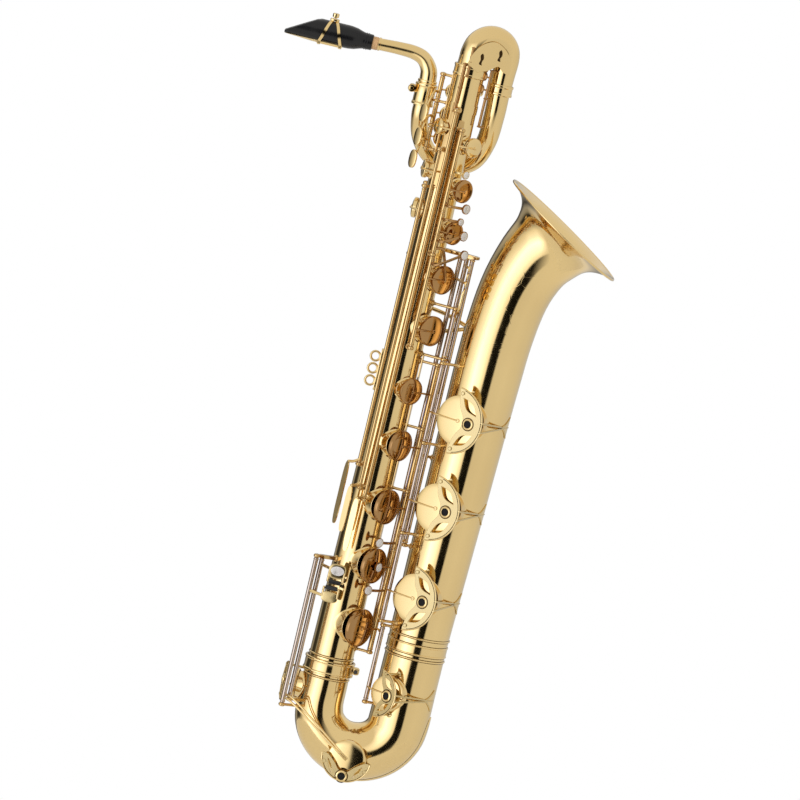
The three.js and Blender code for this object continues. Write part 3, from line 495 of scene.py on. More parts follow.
def on_body(z, angle, bore, cup):
    return hole((0, 0, 0), body_radius(z), angle, z, bore, cup)


def on_bell(z, angle, bore, cup):
    return hole((bell_axis_x(z), 0, 0), bell_tube_radius(z), angle, z, bore, cup)


HOLES = {
    "d": on_body(65, 40, 22, 27.5), "e": on_body(155, 40, 20.5, 25.5), "f": on_body(240, 40, 20, 25),
    "f_sharp": on_body(328, 40, 17.5, 22), "g_sharp": on_body(405, 41, 15, 19),
         "g": on_body(494, 55, 17, 21.5),
    "a": on_body(567, 55, 16, 20.5), "bis": on_body(634, 55, 12.5, 16.5), "b": on_body(694, 55, 12.5, 16.5),
    "c": on_body(756, 55, 10.5, 14), "side_b_flat": on_body(655, -95, 11, 14.5),
         "side_c": on_body(712, -80, 10, 13),
    "high_e": on_body(775, -55, 8.5, 11.5), "palm_d": on_body(756, -140, 8.5, 11.5),
    "palm_e_flat": on_body(790, -140, 8, 11), "palm_f": on_body(823, -140, 7.5, 10.5),
    "octave": on_body(830, 140, 3, 5.5),
}
BELL_HOLES = {
    "low_a": on_bell(385, -19, 29.5, 35.5), "low_b_flat": on_bell(258, -19, 29, 35),
              "low_b": on_bell(127, -19, 28.5, 34.5),
}
BOW_HOLES = {
    "c_sharp": hole((113, 0, 0), 42, -29, -15, 20.5, 25.5),
    "c": hole((56.5, 0, 0), 40.5, 0, -116, 22, 26.5, V(1, 0, 0)),
    "e_flat": hole((0, 0, 0), 32.5, -95, -38, 17, 21),
}


def chimney(shape, spot, n=48):
    """A drawn rim whose foot follows the tube."""
    rim, normal, bore, radius = spot["rim"], spot["normal"], spot["bore"], spot["radius"]
    side = spot["along"].cross(normal)

    def ring(r, height=None, over=0.0, skin=0.0):
        made = []
        for turn in turns(n):
            s, t = r * math.cos(turn), r * math.sin(turn)
            h = height
            if h is None:
                h = math.sqrt((radius - skin) ** 2 - s * s) - radius - CHIMNEY + over
            made.append(rim + side * s + spot["along"] * t + normal * h)
        return made

    shape.grid([ring(bore, skin=WALL + 0.3), ring(bore, -0.45), ring(bore + 0.35, 0), ring(bore + 0.95, 0),
                ring(bore + 1.3, -0.45), ring(bore + 1.3, over=2.0), ring(bore + 1.8, over=0.9),
                ring(bore + 3.4, over=-0.05), ring(bore + 2.2, skin=WALL + 0.3)], wrap_rings=True)


def cut_holes(obj, spots):
    tools = Shape()
    for spot in spots:
        reach = spot["radius"] * 0.72
        tools.lathe([(0, 0), (spot["bore"] + 0.5, 0), (spot["bore"] + 0.5, reach + 12), (0, reach + 12)],
                    spot["rim"] - spot["normal"] * reach, spot["normal"], 40)
    mesh = bpy.data.meshes.new("hole_tools")
    mesh.from_pydata([place(v) for v in tools.verts], [], tools.faces)
    fix_outward(mesh)
    tool = bpy.data.objects.new("hole_tools", mesh)
    bpy.context.scene.collection.objects.link(tool)
    modifier = obj.modifiers.new("holes", "BOOLEAN")
    modifier.operation = "DIFFERENCE"
    modifier.solver = "EXACT"
    modifier.object = tool
    graph = bpy.context.evaluated_depsgraph_get()
    made = bpy.data.meshes.new_from_object(obj.evaluated_get(graph))
    obj.modifiers.clear()
    made.name = obj.data.name + "_drilled"
    obj.data = made
    made.shade_smooth()
    made.set_sharp_from_angle(angle=math.radians(32))
    bpy.data.objects.remove(tool)
    bpy.data.meshes.remove(mesh)


# ---- Tubes ----
def bead(shape, base, direction, radius, thick=1.3, n=96):
    """A half-round ring soldered round a tube."""
    profile = [(radius - 0.6, -thick), (radius + 0.2, -thick)]
    profile += [(radius + thick * math.sin(math.pi * k / 8), -thick * math.cos(math.pi * k / 8))
                for k in range(1, 8)]
    profile += [(radius + 0.2, thick), (radius - 0.6, thick)]
    shape.lathe(profile, base, direction, n)


def pipe(points, count, sides, radius):
    """A tube of sheet metal along points, its outer radius given by the share of its length."""
    shares = evenly(count)
    outer = [radius(u) for u in shares]
    return Shape().sweep(stations(spline(points, 24), shares), sides, outer, [r - WALL for r in outer])


BOW_POINTS = [V(0, 0, -GAP), V(0, 0, -29)]
BOW_POINTS += [V(56.5 - 56.5 * math.cos(math.pi * i / 8), 0, -58 - 55 * math.sin(math.pi * i / 8))
               for i in range(9)]
BOW_POINTS += [V(113.4, 0, 0), V(113.8, 0, 41), V(113.8, 0, 55.7)]
BELL_POINTS = [V(113.8, 0, 56), V(113.8, 0, 68), V(117.35, 0, 250), V(121.0, 0, 450), V(124.5, 0, 520),
               V(132, 0, 575),
               V(146, 0, 618), V(163, 0, 648), RIM_CENTRE]
UPPER_BOW_POINTS = [V(0, 0, 858.3), V(0, 0, 866), V(0, 0, 876)]
for i in range(7):
    lean = (1 - math.cos(math.pi * i / 6)) / 2
    UPPER_BOW_POINTS.append(V(46 * lean, 12 * lean, 884 + 24.5 * math.sin(math.pi * i / 6)))
UPPER_BOW_POINTS += [V(46, 12, 865), V(46, 12, 852), V(46, 12, 842)]
LOOP_POINTS = [V(46, 12, 841.7), V(46, 12, 832), V(46.5, 15, 803), V(44, 26, 765), V(31, 40, 733),
               V(0, 47, 719),
               V(-29, 41, 729), V(-47, 30, 752), V(-54, 19, 778), V(-55, 16, 795), V(-55, 16, 806)]
NECK_POINTS = [V(-55, 16, 806.5), V(-55, 16, 818), V(-55, 16, 832), V(-57.5, 16, 846), V(-67, 16, 858.5),
               V(-82, 16, 864), V(-105, 16, 865), V(-140, 16, 864), V(-172, 16, 864)]


def bow_radius(u):
    return mix([(0, 31.5), (0.16, 32.8), (0.42, 40.5), (0.68, 42.2), (1, 42)], u)


def post(shape, foot, line, z, pins):
    """A turned post with its ball on the hinge line, and the steel point that the key turns on."""
    head = at(line, z)
    direction = (head - foot).normalized()
    length = (head - foot).length
    profile = fillet([(0, 0), (4.8, 0), (4.8, 1.3), (2.7, 2.2), (2.0, min(5, length * 0.5)),
                      (2.0, length - 3.5),
                      (2.8, length - 1), (0, length - 1)], 0.8, 3, closed=False)
    shape.lathe([tuple(v) for v in profile], foot, direction, 20)
    ball = fillet([(0, 0), (3.3, 0), (4.5, 1.3), (4.7, HEAD), (4.5, 2 * HEAD - 1.3), (3.3, 2 * HEAD),
                   (0, 2 * HEAD)],
                  1.0, 3, closed=False)
    shape.lathe([tuple(v) for v in ball], at(line, z - HEAD), UP, 24)
    pins.rod(at(line, z - HEAD - 0.4), at(line, z + HEAD + 0.4), 1.5, 16, round_off=0.2)


def tube_post(shape, centre, radius, line, z, pins):
    centre = at(centre, z)
    foot = centre + (at(line, z) - centre).normalized() * (radius - 0.4)
    post(shape, foot, line, z, pins)


def tubes():
    shares = evenly(44)
    body = Shape().lathe([(body_radius(0) - WALL, 0)]
                         + [(body_radius(BODY_TOP * u), BODY_TOP * u) for u in shares]
                         + [(body_radius(BODY_TOP * u) - WALL, BODY_TOP * u) for u in reversed(shares)][:-1],
                         (0, 0, 0), UP, 112)
    cut_holes(body.make("body_tube_skin", "frame", BRASS, ["body_tube"]), HOLES.values())
    bow = pipe(BOW_POINTS, 90, 112, bow_radius)
    cut_holes(bow.make("bow_skin", "frame", BRASS, ["bow"]), BOW_HOLES.values())

    length = sum((b - a).length for a, b in zip(spline(BELL_POINTS, 24), spline(BELL_POINTS, 24)[1:]))

    def bell_radius(u):
        left = (1 - u) * length
        return min(48, 42 + 0.0145 * u * length) + 16 * math.exp(-left / 60) + 34.5 * math.exp(-left / 10)

    shares = evenly(50)[:-6]
    while shares[-1] < 0.9999:
        shares.append(min(1.0, shares[-1] + 0.0012 + 0.1 * (1 - shares[-1])))
    line = stations(spline(BELL_POINTS, 24), shares)
    outer = [bell_radius(u) for u in shares]
    inner = [bell_radius(max(0, u - 1.2 / length)) - 0.8 for u in shares]
    bell = Shape().sweep(line, 144, outer, inner).make("bell_skin", "frame", BELL_BRASS, ["bell"])
    cut_holes(bell, BELL_HOLES.values())
    mouth = (line[-1] - line[-2]).normalized()
    lip = Shape().lathe([(outer[-1] - 0.9 + 1.7 * math.cos(a), 1.7 * math.sin(a)) for a in turns(16)],
                        line[-1] - mouth * 0.6, mouth, 160)
    lip.make("bell_rolled_lip", "frame", BRASS)

    rims = Shape()
    for spot in [*HOLES.values(), *BELL_HOLES.values(), *BOW_HOLES.values()]:
        chimney(rims, spot)
    rims.make("tone_hole_rims", "frame", BRASS)

    upper = pipe(UPPER_BOW_POINTS, 64, 72, lambda u: 20.7 - 5.4 * u)
    ferrule = [(21.9, 850), (23.2, 850), (23.9, 850.8), (23.9, 853), (23.2, 854), (23.2, 862), (23.9, 863),
               (23.9, 865.2),
               (23.2, 866), (19.8, 866), (19.8, 858.6), (21.9, 858.6)]
    upper.lathe(ferrule, (0, 0, 0), UP, 72)
    upper.make("upper_bow_skin", "frame", BRASS, ["upper_bow"])
    loop = pipe(LOOP_POINTS, 90, 64, lambda u: 15.1 - 3.2 * u)
    loop.lathe([(14.2, 834), (17.4, 834), (18, 834.8), (18, 837), (17.3, 838), (17.3, 845), (18, 846),
                (18, 848.2),
                (17.4, 849), (16.1, 849), (16.1, 841.4), (14.2, 841.4)], (46, 12, 0), UP, 64)
    loop.make("pigtail_loop_skin", "frame", BRASS, ["pigtail_loop"])

    beads, shade = Shape(), Shape()

    # Each bead gets two thin dark rings beside it: painted shade that outlines it, not a groove in the tube.
    def ring(centre, radius):
        bead(beads, centre, UP, radius)
        for side in (-1.5, 1.5):
            bead(shade, centre + UP * side, UP, radius - 0.35, 0.55)

    for z in (60, 70):
        ring(V(bell_axis_x(z), 0, z), bell_tube_radius(z) + 0.2)
    for z in (40, 47):
        ring(V(113.8, 0, z), 42.2)
    beads.lathe([(42.0, 48), (42.6, 48), (42.9, 48.4), (42.9, 58.6), (42.6, 59), (42.0, 59)], V(113.8, 0, 0),
                UP, 112)
    ring(V(0, 0, 13), body_radius(13) + 0.1)
    ring(V(0, 0, -17), 31.9)
    shade.make("ring_edges", "frame", SHADE)
    beads.make("reinforcing_rings", "frame", BRASS)


def posts():
    brass, pins = Shape(), Shape()
    for line, heights in ((LOWER_STACK, (31, 265, 355.4, 448)), (UPPER_STACK, (466, 600.3, 778)),
                          (PALM, (739, 772, 807, 845)), (SIDE_B_FLAT, (289, 690)), (SIDE_C, (258, 745)),
                          (HIGH_E, (243, 803)), (OCTAVE_THUMB, (588, 690)), (OCTAVE_VENT, (776, 843)),
                          (LOW_A_LEVER, (369, 603)), (G_SHARP_LEVER, (458, 531)), (TABLE_C_SHARP, (57,)),
                          (LOW_C, (150,))):
        for z in heights:
            tube_post(brass, (0, 0), body_radius(z), line, z, pins)
    for line, heights in ((BELL_KEYS, (82, 210, 340, 455)), (C_SHARP, (75,)), (TABLE_B, (190,)),
                          (TABLE_B_FLAT, (318,))):
        for z in heights:
            tube_post(brass, (bell_axis_x(z), 0), bell_tube_radius(z), line, z, pins)
    post(brass, V(-27, -11, -66.5), LOW_C, -66.5, pins)
    post(brass, V(-27, -11, -58), LOW_E_FLAT, -58, pins)
    post(brass, V(80, -17, -37), C_SHARP, -37, pins)
    # The plate behind the table levers, the saddle of the two low levers, and ribs under the stacks' posts.
    start, end = V(17.5, 13, 606), V(68, -6.5, 606)
    brass.slab(stadium((end - start).length + 8, 5.2, 8), 11, (start + end) / 2, end - start, UP, 0.8)
    start, end = V(-24, -14, 150), V(-46, -27, 150)
    brass.slab(stadium((end - start).length + 6, 5.2, 8), 7, (start + end) / 2, end - start, UP, 0.8)
    for line, low, high in ((LOWER_STACK, 22, 458), (UPPER_STACK, 458, 790), (SIDE_C, 690, 812),
                            (PALM, 732, 852)):
        direction = at(line, 0).normalized()
        middle = (low + high) / 2
        rib = direction * (body_radius(middle) + 0.5)
        brass.slab(stadium(high - low, 9, 10), 1.4, V(rib.x, rib.y, middle), UP, direction.cross(UP), 0.4)
    # Posts and ribs take the darker copy of the brass: painted shade.
    brass.make("posts_and_ribs", "frame", HALF_SHADED_BRASS)
    pins.make("pivot_points", "frame", STEEL)
    needles = Shape()
    for line, z, sense in ((LOWER_STACK, 31, 1), (LOWER_STACK, 265, 1), (LOWER_STACK, 265, -1),
                           (LOWER_STACK, 355.4, 1),
                           (LOWER_STACK, 448, -1), (UPPER_STACK, 466, 1), (UPPER_STACK, 600.3, 1),
                           (UPPER_STACK, 778, -1),
                           (BELL_KEYS, 82, 1), (BELL_KEYS, 210, 1), (BELL_KEYS, 455, -1),
                           (SIDE_B_FLAT, 690, -1),
                           (SIDE_C, 745, -1), (HIGH_E, 803, -1), (LOW_A_LEVER, 369, 1),
                           (OCTAVE_THUMB, 588, 1)):
        centre = at(line, z)
        inward = (V(bell_axis_x(z) if line == BELL_KEYS else 0, 0, z) - centre).normalized()
        needles.rod(centre + inward * 4, centre + inward * 3.6 + UP * 44 * sense, 0.45, 8, round_off=0.1)
    needles.make("needle_springs", "frame", BLUED)


def upper_bow_details():
    """The slotted plate across the upper bend, with the vent cups, rods and posts between its two legs."""
    border = spline([V(-6, 869, 0), V(-2, 884, 0), V(9, 899, 0), V(25, 906, 0), V(40, 899, 0), V(50, 886, 0),
                     V(54, 866, 0),
                     V(44, 868, 0), V(36, 874, 0), V(24, 866, 0), V(10, 860, 0)], 6)
    outlines = [[(p.x, p.y) for p in border]]
    for x, z in ((11, 878), (35, 888)):
        slot = spline([V(2.8, -8, 0), V(1.6, -3, 0), V(3.4, 3, 0), V(0.6, 9.5, 0), V(-2.4, 6, 0),
                       V(-1.2, 0, 0),
                       V(-2.4, -6, 0), V(2.8, -8, 0)], 4)[:-1]
        outlines.append([(x + p.x, z + p.y) for p in slot])
    verts, faces = guard_plate(outlines, 1.4)

    def front(x, z, over=0.0):
        """A point before the two legs, whose fronts are not equally far forward."""
        return V(x, -23.0 + 16 * x / 46 - over, z)

    plate = Shape()
    plate.add([front(v.x, v.y, 1.5 + v.z) for v in verts], faces)
    for x, skin, z in ((-2, -19.6, 876), (50, -3.2, 876), (25, -6.0, 903)):
        plate.rod(V(x, skin, z), front(x, z, 1.2), 1.8, 16)
    plate.make("upper_bow_plate", "frame", BRASS)
    # Dark slabs behind the plate's two slots: painted shade where the tube behind would show through.
    slot_shadows = Shape()
    for x, z in ((11.3, 878.8), (35.3, 888.8)):
        slot_shadows.slab(stadium(7.5, 20, 2.6), 0.6, front(x, z, 0.4), front(1, 0) - front(0, 0), UP, 0.1)
    slot_shadows.make("upper_bow_plate_slots", "frame", SHADE)
    rods = Shape()
    for x, low, high in ((-9.5, 800, 868), (-3.0, 852, 892), (29.0, 786, 866)):
        depth = -23.4 if x < 10 else -9.0
        rods.rod(V(x, depth, low), V(x, depth, high), 2.0, 24, round_off=0.5)
        for z in (low, (low + high) / 2, high):
            bead(rods, V(x, depth, z), UP, 1.9, 1.0, 24)
            rods.rod(V(x, depth, z), V(x if x < 10 else 35.5, depth + 6.5, z), 1.5, 16)
    for x, z, reach in ((21.0, 856, 29.0), (20.5, 838, 29.0)):
        rods.lathe([(0, 0), (6.2, 0), (6.6, 0.6), (6.6, 2.6), (5.4, 3.6), (0, 4.2)], V(x, -6, z),
                   V(-0.75, -0.66, 0), 40)
        rods.wire([V(x - 2.6, -8.6, z), V(x + 3, -10.5, z), V(reach, -9.0, z)], 1.3, 0.8)
    # The rods and vent cups take the darkest copy of the brass: painted shade.
    rods.make("upper_bow_rods", "frame", SHADOWED_BRASS)


# ---- Keys ----
def opening(line, spot, lift):
    reach = at(line, spot["rim"].z) - spot["rim"]
    turns_out = 1 if reach.cross(UP).dot(spot["normal"]) > 0 else -1
    return turns_out * lift / reach.length


class Key:
    """The pieces of one key by their finish, drawn shut and then turned to where the key rests."""

    def __init__(self, name, line, turn=0.0):
        self.name, self.line, self.turn = name, line, turn
        self.parts = {}

    def __getattr__(self, kind):
        return self.parts.setdefault(kind, Shape())

    def tube(self, low, high, radius=TUBE):
        self.brass_tube.rod(at(self.line, low), at(self.line, high), radius, 28, round_off=0.5)
        for z in (low + 2.2, high - 2.2):
            bead(self.brass_tube, at(self.line, z), UP, radius - 0.1, 0.7, 28)

    def shell(self, spot):
        """The domed cup, its pad, and the resonator in the pad's middle."""
        rim, normal, cup = spot["rim"], spot["normal"], spot["cup"]
        dome = [(cup * math.cos(t), 4.6 + 3.4 * math.sin(t))
                for t in (math.radians(k) for k in range(18, 90, 8))]
        self.brass.lathe([(0, 1.4), (cup - 0.9, 1.4), (cup - 0.8, 0.6), (cup - 0.3, 0.4), (cup, 0.8),
                          (cup, 4.4),
                          (cup - 0.25, 5.2), *dome, (0, 8.0)], rim, normal, 72)
        self.pad.lathe([(0, 0.5), (cup * 0.3, 0.5), (cup - 2.4, 0.35), (cup - 1.5, 0.7), (cup - 1.2, 1.6),
                        (0, 1.6)],
                       rim, normal, 56)
        self.brass.lathe([(0, 0.05), (cup * 0.3, 0.15), (cup * 0.36, 0.6), (0, 0.6)], rim, normal, 40)

    def cup(self, spot, arm_z=None):
        self.shell(spot)
        rim, normal, cup = spot["rim"], spot["normal"], spot["cup"]
        start = at(self.line, rim.z if arm_z is None else arm_z)
        towards = start - rim
        towards -= normal * towards.dot(normal)
        towards.normalize()
        self.brass.wire([start + normal * 1.5, rim + towards * cup * 0.95 + normal * 7.0, rim + normal * 8.3],
                        1.7, 1.5,
                        normal, 0.6)
        self.brass.lathe([(0, 6.5), (3.0, 6.5), (2.8, 8.6), (2.0, 9.3), (0, 9.5)], rim, normal, 24)

    def pearl_touch(self, centre, facing, r):
        self.brass.lathe([(0, -2.4), (r - 0.8, -2.4), (r, -1.6), (r, 0.9), (r - 0.35, 1.3), (r - 0.9, 1.2),
                          (r - 0.9, 0.3),
                          (0, 0.3)], centre, facing, 40)
        self.pearl.lathe([(0, 0.2), (r - 1.0, 0.2), (r - 1.0, 1.0), (r - 1.4, 1.6), (r * 0.6, 1.9), (0, 1.7)],
                         centre, facing, 40)

    def plate(self, centre, width, height, wide, thickness=2.4, power=3.2):
        self.brass.slab(stadium(width, height, power, 40), thickness, centre, wide, UP, 0.7, 0.5)

    def finish(self):
        # Stack keys and key tubes take darker copies of the lacquered brass, and long rods a greyed one:
        # painted shade and painted reflection, not other metals.
        long_rod = self.line in (LOW_C, LOW_E_FLAT, C_SHARP, BELL_KEYS)
        stack = self.line in (LOWER_STACK, UPPER_STACK) and self.name != "c_key"
        finishes = {"brass": SHADOWED_BRASS if stack else BRASS, "brass_tube": ROD_BRASS if long_rod
                    else HALF_SHADED_BRASS,
                    "steel_tube": ROD_BRASS, "pad": LEATHER, "pearl": PEARL, "satin_plate": SATIN_SHADED_BRASS}
        for kind, shape in self.parts.items():
            shape.swing(self.line, self.turn)
            shape.make(f"{self.name}_{kind}", self.name, finishes[kind], [self.name] if kind == "brass"
                       else ())


def key(name, line, span, spot, lift, is_open, radius=TUBE, arm_z=None):
    made = Key(name, line, opening(line, spot, lift) if is_open else 0.0)
    made.tube(*span, radius)
    made.cup(spot, arm_z)
    return made


def stacks():
    right = outward(28)

    def reach(made, z):
        spot = right * 46
        spot.z = z
        made.brass.wire([at(LOWER_STACK, z), at(LOWER_STACK, z).lerp(spot, 0.5) + right * 2.0,
                         spot - right * 2], 2.0, 0.8)
        made.pearl_touch(spot, right, 7)

    d = key("d_key", LOWER_STACK, (33.9, 128), HOLES["d"], 7, True)
    reach(d, 121)
    d.finish()
    e = key("e_key", LOWER_STACK, (128.3, 180), HOLES["e"], 7, True)
    facing = HOLES["e"]["normal"]
    e.brass.rod(HOLES["e"]["rim"] + facing * 7, HOLES["e"]["rim"] + facing * 10, 3.4, 24)
    e.pearl_touch(HOLES["e"]["rim"] + facing * 12, facing, 7)
    e.finish()
    f = key("f_key", LOWER_STACK, (180.3, 262.1), HOLES["f"], 7, True)
    reach(f, 190)
    f.finish()
    key("f_sharp_key", LOWER_STACK, (267.9, 352.5), HOLES["f_sharp"], 6, True).finish()
    key("g_sharp_key", LOWER_STACK, (358.3, 445.1), HOLES["g_sharp"], 5, False).finish()
    Shape().rod(at(LOWER_STACK, 33.9), at(LOWER_STACK, 262.1), 1.8, 20).make(
        "lower_stack_axle", "frame", STEEL, ["lower_stack_rod"])

    facing = outward(55)

    def bowed(made, z, pearl_z, x, y, radius):
        made.brass.wire([at(UPPER_STACK, z), V(20, -47, z + 1), V(x, y, pearl_z) - facing * 1.8], 2.0, 0.8)
        made.pearl_touch(V(x, y, pearl_z), facing, radius)

    g = key("g_key", UPPER_STACK, (468.9, 597.4), HOLES["g"], 6, True)
    bowed(g, 588, 610, 52, -38, 7)
    g.finish()
    a = Key("a_key", UPPER_STACK, opening(UPPER_STACK, HOLES["a"], 5))
    a.tube(603.2, 628)
    a.cup(HOLES["a"])
    a.brass.wire([at(UPPER_STACK, 609), at(UPPER_STACK, 608) + facing * 7 + V(7, 9, 0),
                  HOLES["a"]["rim"] + facing * 8.2], 2.0, 1.2)
    bowed(a, 621, 635, 44, -34, 7)
    a.finish()
    for name, span, spot, z, pearl_z, x, y, r in (
            ("bis_key", (628.3, 661), "bis", 652, 653, 35, -34, 5.5),
                                                  ("b_key", (661.3, 712), "b", 671, 672, 38, -31, 7),
            ("c_key", (712.3, 775.1), "c", 719, 719, 28, -40, 6)):
        made = key(name, UPPER_STACK, span, HOLES[spot], 5, True)
        bowed(made, z, pearl_z, x, y, r)
        made.finish()
    Shape().rod(at(UPPER_STACK, 603.2), at(UPPER_STACK, 775.1), 1.8, 20).make(
        "upper_stack_axle", "frame", STEEL, ["upper_stack_rod"])


def lever(name, line, low, high, arms, plates=()):
    made = Key(name, line)
    made.steel_tube.rod(at(line, low), at(line, high), TUBE, 28, round_off=0.5)
    for z in (low + 1.6, high - 1.6):
        bead(made.brass, at(line, z), UP, TUBE - 0.2, 1.0, 28)
    for points, radius in arms:
        made.brass.wire(points, radius, 0.8)
    for centre, width, height, wide in plates:
        made.plate(centre, width, height, wide)
    made.finish()


def bell_keys():
    for name, spot, low, high in (("low_b_key", "low_b", 84.9, 207.1),
                                  ("low_b_flat_key", "low_b_flat", 212.9, 337.1),
                                  ("low_a_key", "low_a", 342.9, 452.1)):
        made = key(name, BELL_KEYS, (low, high), BELL_HOLES[spot], 9, True)
        if spot == "low_b":
            made.brass.wire([at(BELL_KEYS, 198), V(60, -24, 198)], 1.6)
        made.finish()
    made = key("low_c_sharp_key", C_SHARP, (-34.1, 72.1), BOW_HOLES["c_sharp"], 7, False)
    made.brass.wire([at(C_SHARP, 64), V(57, -13, 64)], 1.6)
    made.finish()

    def touch(z):
        return (V(62.5, -37, z), 20, 9.5, V(0, 1, 0))

    lever("g_sharp_lever", G_SHARP_LEVER, 460.9, 528.1,
          [([at(G_SHARP_LEVER, 518), V(61, -30, 536), V(61.5, -31, 558)], 2)],
          [touch(560)])
    lever("table_c_sharp_lever", TABLE_C_SHARP, 59.9, 603.1, [
        ([at(TABLE_C_SHARP, 571), V(57, -20, 571), V(61, -31, 571)], 2),
                                                              ([at(TABLE_C_SHARP, 64), V(57, -4, 64)], 1.6)],
        [touch(571)])
    lever("table_b_lever", TABLE_B, 192.9, 603.1, [
        ([at(TABLE_B, 582), V(62, -31, 582)], 2), ([at(TABLE_B, 198), V(62, -19, 198)], 1.6)], [touch(582)])
    lever("table_b_flat_lever", TABLE_B_FLAT, 320.9, 603.1,
          [([at(TABLE_B_FLAT, 593), V(56.5, -14, 593), V(61, -31, 593)], 2)],
          [touch(593)])
    lever("low_a_lever", LOW_A_LEVER, 371.9, 600.1, [([at(LOW_A_LEVER, 596), V(9, 40, 604)], 2)],
          [(V(6, 41, 612), 14, 20, V(1, 0, 0))])


def low_keys():
    spot = BOW_HOLES["c"]
    made = Key("low_c_key", LOW_C, opening(LOW_C, spot, 10))
    made.tube(-63.6, 147.1)
    made.shell(spot)
    for shift in (-2.6, 2.6):
        off = V(0.55, 0, 0.83) * shift
        made.brass.wire([at(LOW_C, -54) + off, V(-30, -44, -60) + off,
                         spot["rim"] + spot["normal"] * 8.2 + off * 0.5], 1.5, 1.0)
    made.brass.wire([at(LOW_C, 100), V(-30, -46.5, 100)], 2.2)
    pinky(made, -20, 100, 15, 113, 23.4)
    made.finish()
    made = key("low_e_flat_key", LOW_E_FLAT, (-55.1, 147.1), BOW_HOLES["e_flat"], 6, False)
    made.brass.wire([at(LOW_E_FLAT, 139), V(-29, -46.5, 139)], 2.2)
    pinky(made, -19, 137, 21, 121.5, 24)
    made.pearl.slab(stadium(19, 13, 2), 1.6, V(-19, -49.4, 138), V(1, 0, 0), UP, 0.5, 0.4)
    made.finish()


def pinky(made, x, z, height, roller_z, width):
    # The pinky plate's darker satin brass is partly painted shade.
    made.satin_plate.slab(stadium(width, height, 3.2, 40), 2.5, V(x, -48, z), V(1, 0, 0), UP, 0.7, 0.5)
    for side in (-1, 1):
        made.brass.wire([V(x + side * 10.6, -48, z), V(x + side * 10.6, -48, roller_z)], 1.6, 1.0)
    made.brass.rod(V(x - 10.6, -48, roller_z), V(x + 10.6, -48, roller_z), 0.9, 12)


def side_keys():
    for name, line, low, high, spot, touch, size in (
            ("side_b_flat_key", SIDE_B_FLAT, 291.9, 687.1, "side_b_flat", V(-40, -36, 246), 90),
            ("side_c_key", SIDE_C, 260.9, 742.1, "side_c", V(-28, -44, 226), 66),
            ("high_e_key", HIGH_E, 245.9, 800.1, "high_e", V(-16, -47, 206), 76)):
        made = key(name, line, (low, high), HOLES[spot], 4, False, 2.6)
        foot = V(touch.x, touch.y, low - 1)
        made.brass.wire([at(line, low + 4), at(line, low + 1).lerp(foot, 0.5), foot], 2.0, 0.8)
        made.plate(touch, 9, size, V(touch.x, touch.y, 0).cross(UP))
        made.finish()
    for name, spot, low, high, z in (("palm_d_key", "palm_d", 741.9, 769.1, 722),
                                     ("palm_e_flat_key", "palm_e_flat", 774.9, 804.1, 754),
                                     ("palm_f_key", "palm_f", 809.9, 842.1, 788)):
        made = key(name, PALM, (low, high), HOLES[spot], 5, False)
        made.brass.wire([at(PALM, low + 9), V(-43, -7, low + 8), V(-49, -13, z)], 2.0, 0.8)
        made.plate(V(-50, -14, z), 14, 26, V(0.7, -0.7, 0), 2.8, 2.4)
        made.finish()
    made = Key("octave_thumb_key", OCTAVE_THUMB)
    made.tube(590.9, 687.1)
    made.brass.wire([at(OCTAVE_THUMB, 663), V(-16, 33, 663), V(-8, 36, 663)], 2.0)
    made.plate(V(-2, 37, 663), 24, 12, V(1, 0, 0))
    made.brass.wire([at(OCTAVE_THUMB, 684), V(-12, 29, 684), V(-4, 30, 688), V(-4, 30, 730), V(-4, 30, 770)],
                    1.5, 1.0)
    made.finish()
    key("octave_vent_key", OCTAVE_VENT, (778.9, 840.1), HOLES["octave"], 3, False).finish()


# ---- Key guards ----
def guard_plate(outlines, thickness):
    """A flat plate from a border and its slots, as vertices and faces."""
    curve = bpy.data.curves.new("guard", "CURVE")
    curve.dimensions = "2D"
    curve.fill_mode = "BOTH"
    curve.extrude = thickness / 2 - 0.35
    curve.bevel_depth = 0.35
    curve.bevel_resolution = 2
    for outline in outlines:
        line = curve.splines.new("POLY")
        line.points.add(len(outline) - 1)
        for point, (x, y) in zip(line.points, outline):
            point.co = (x, y, 0, 1)
        line.use_cyclic_u = True
    obj = bpy.data.objects.new("guard", curve)
    mesh = bpy.data.meshes.new_from_object(obj)
    made = [v.co.copy() for v in mesh.vertices], [tuple(p.vertices) for p in mesh.polygons]
    bpy.data.objects.remove(obj)
    bpy.data.meshes.remove(mesh)
    bpy.data.curves.remove(curve)
    return made


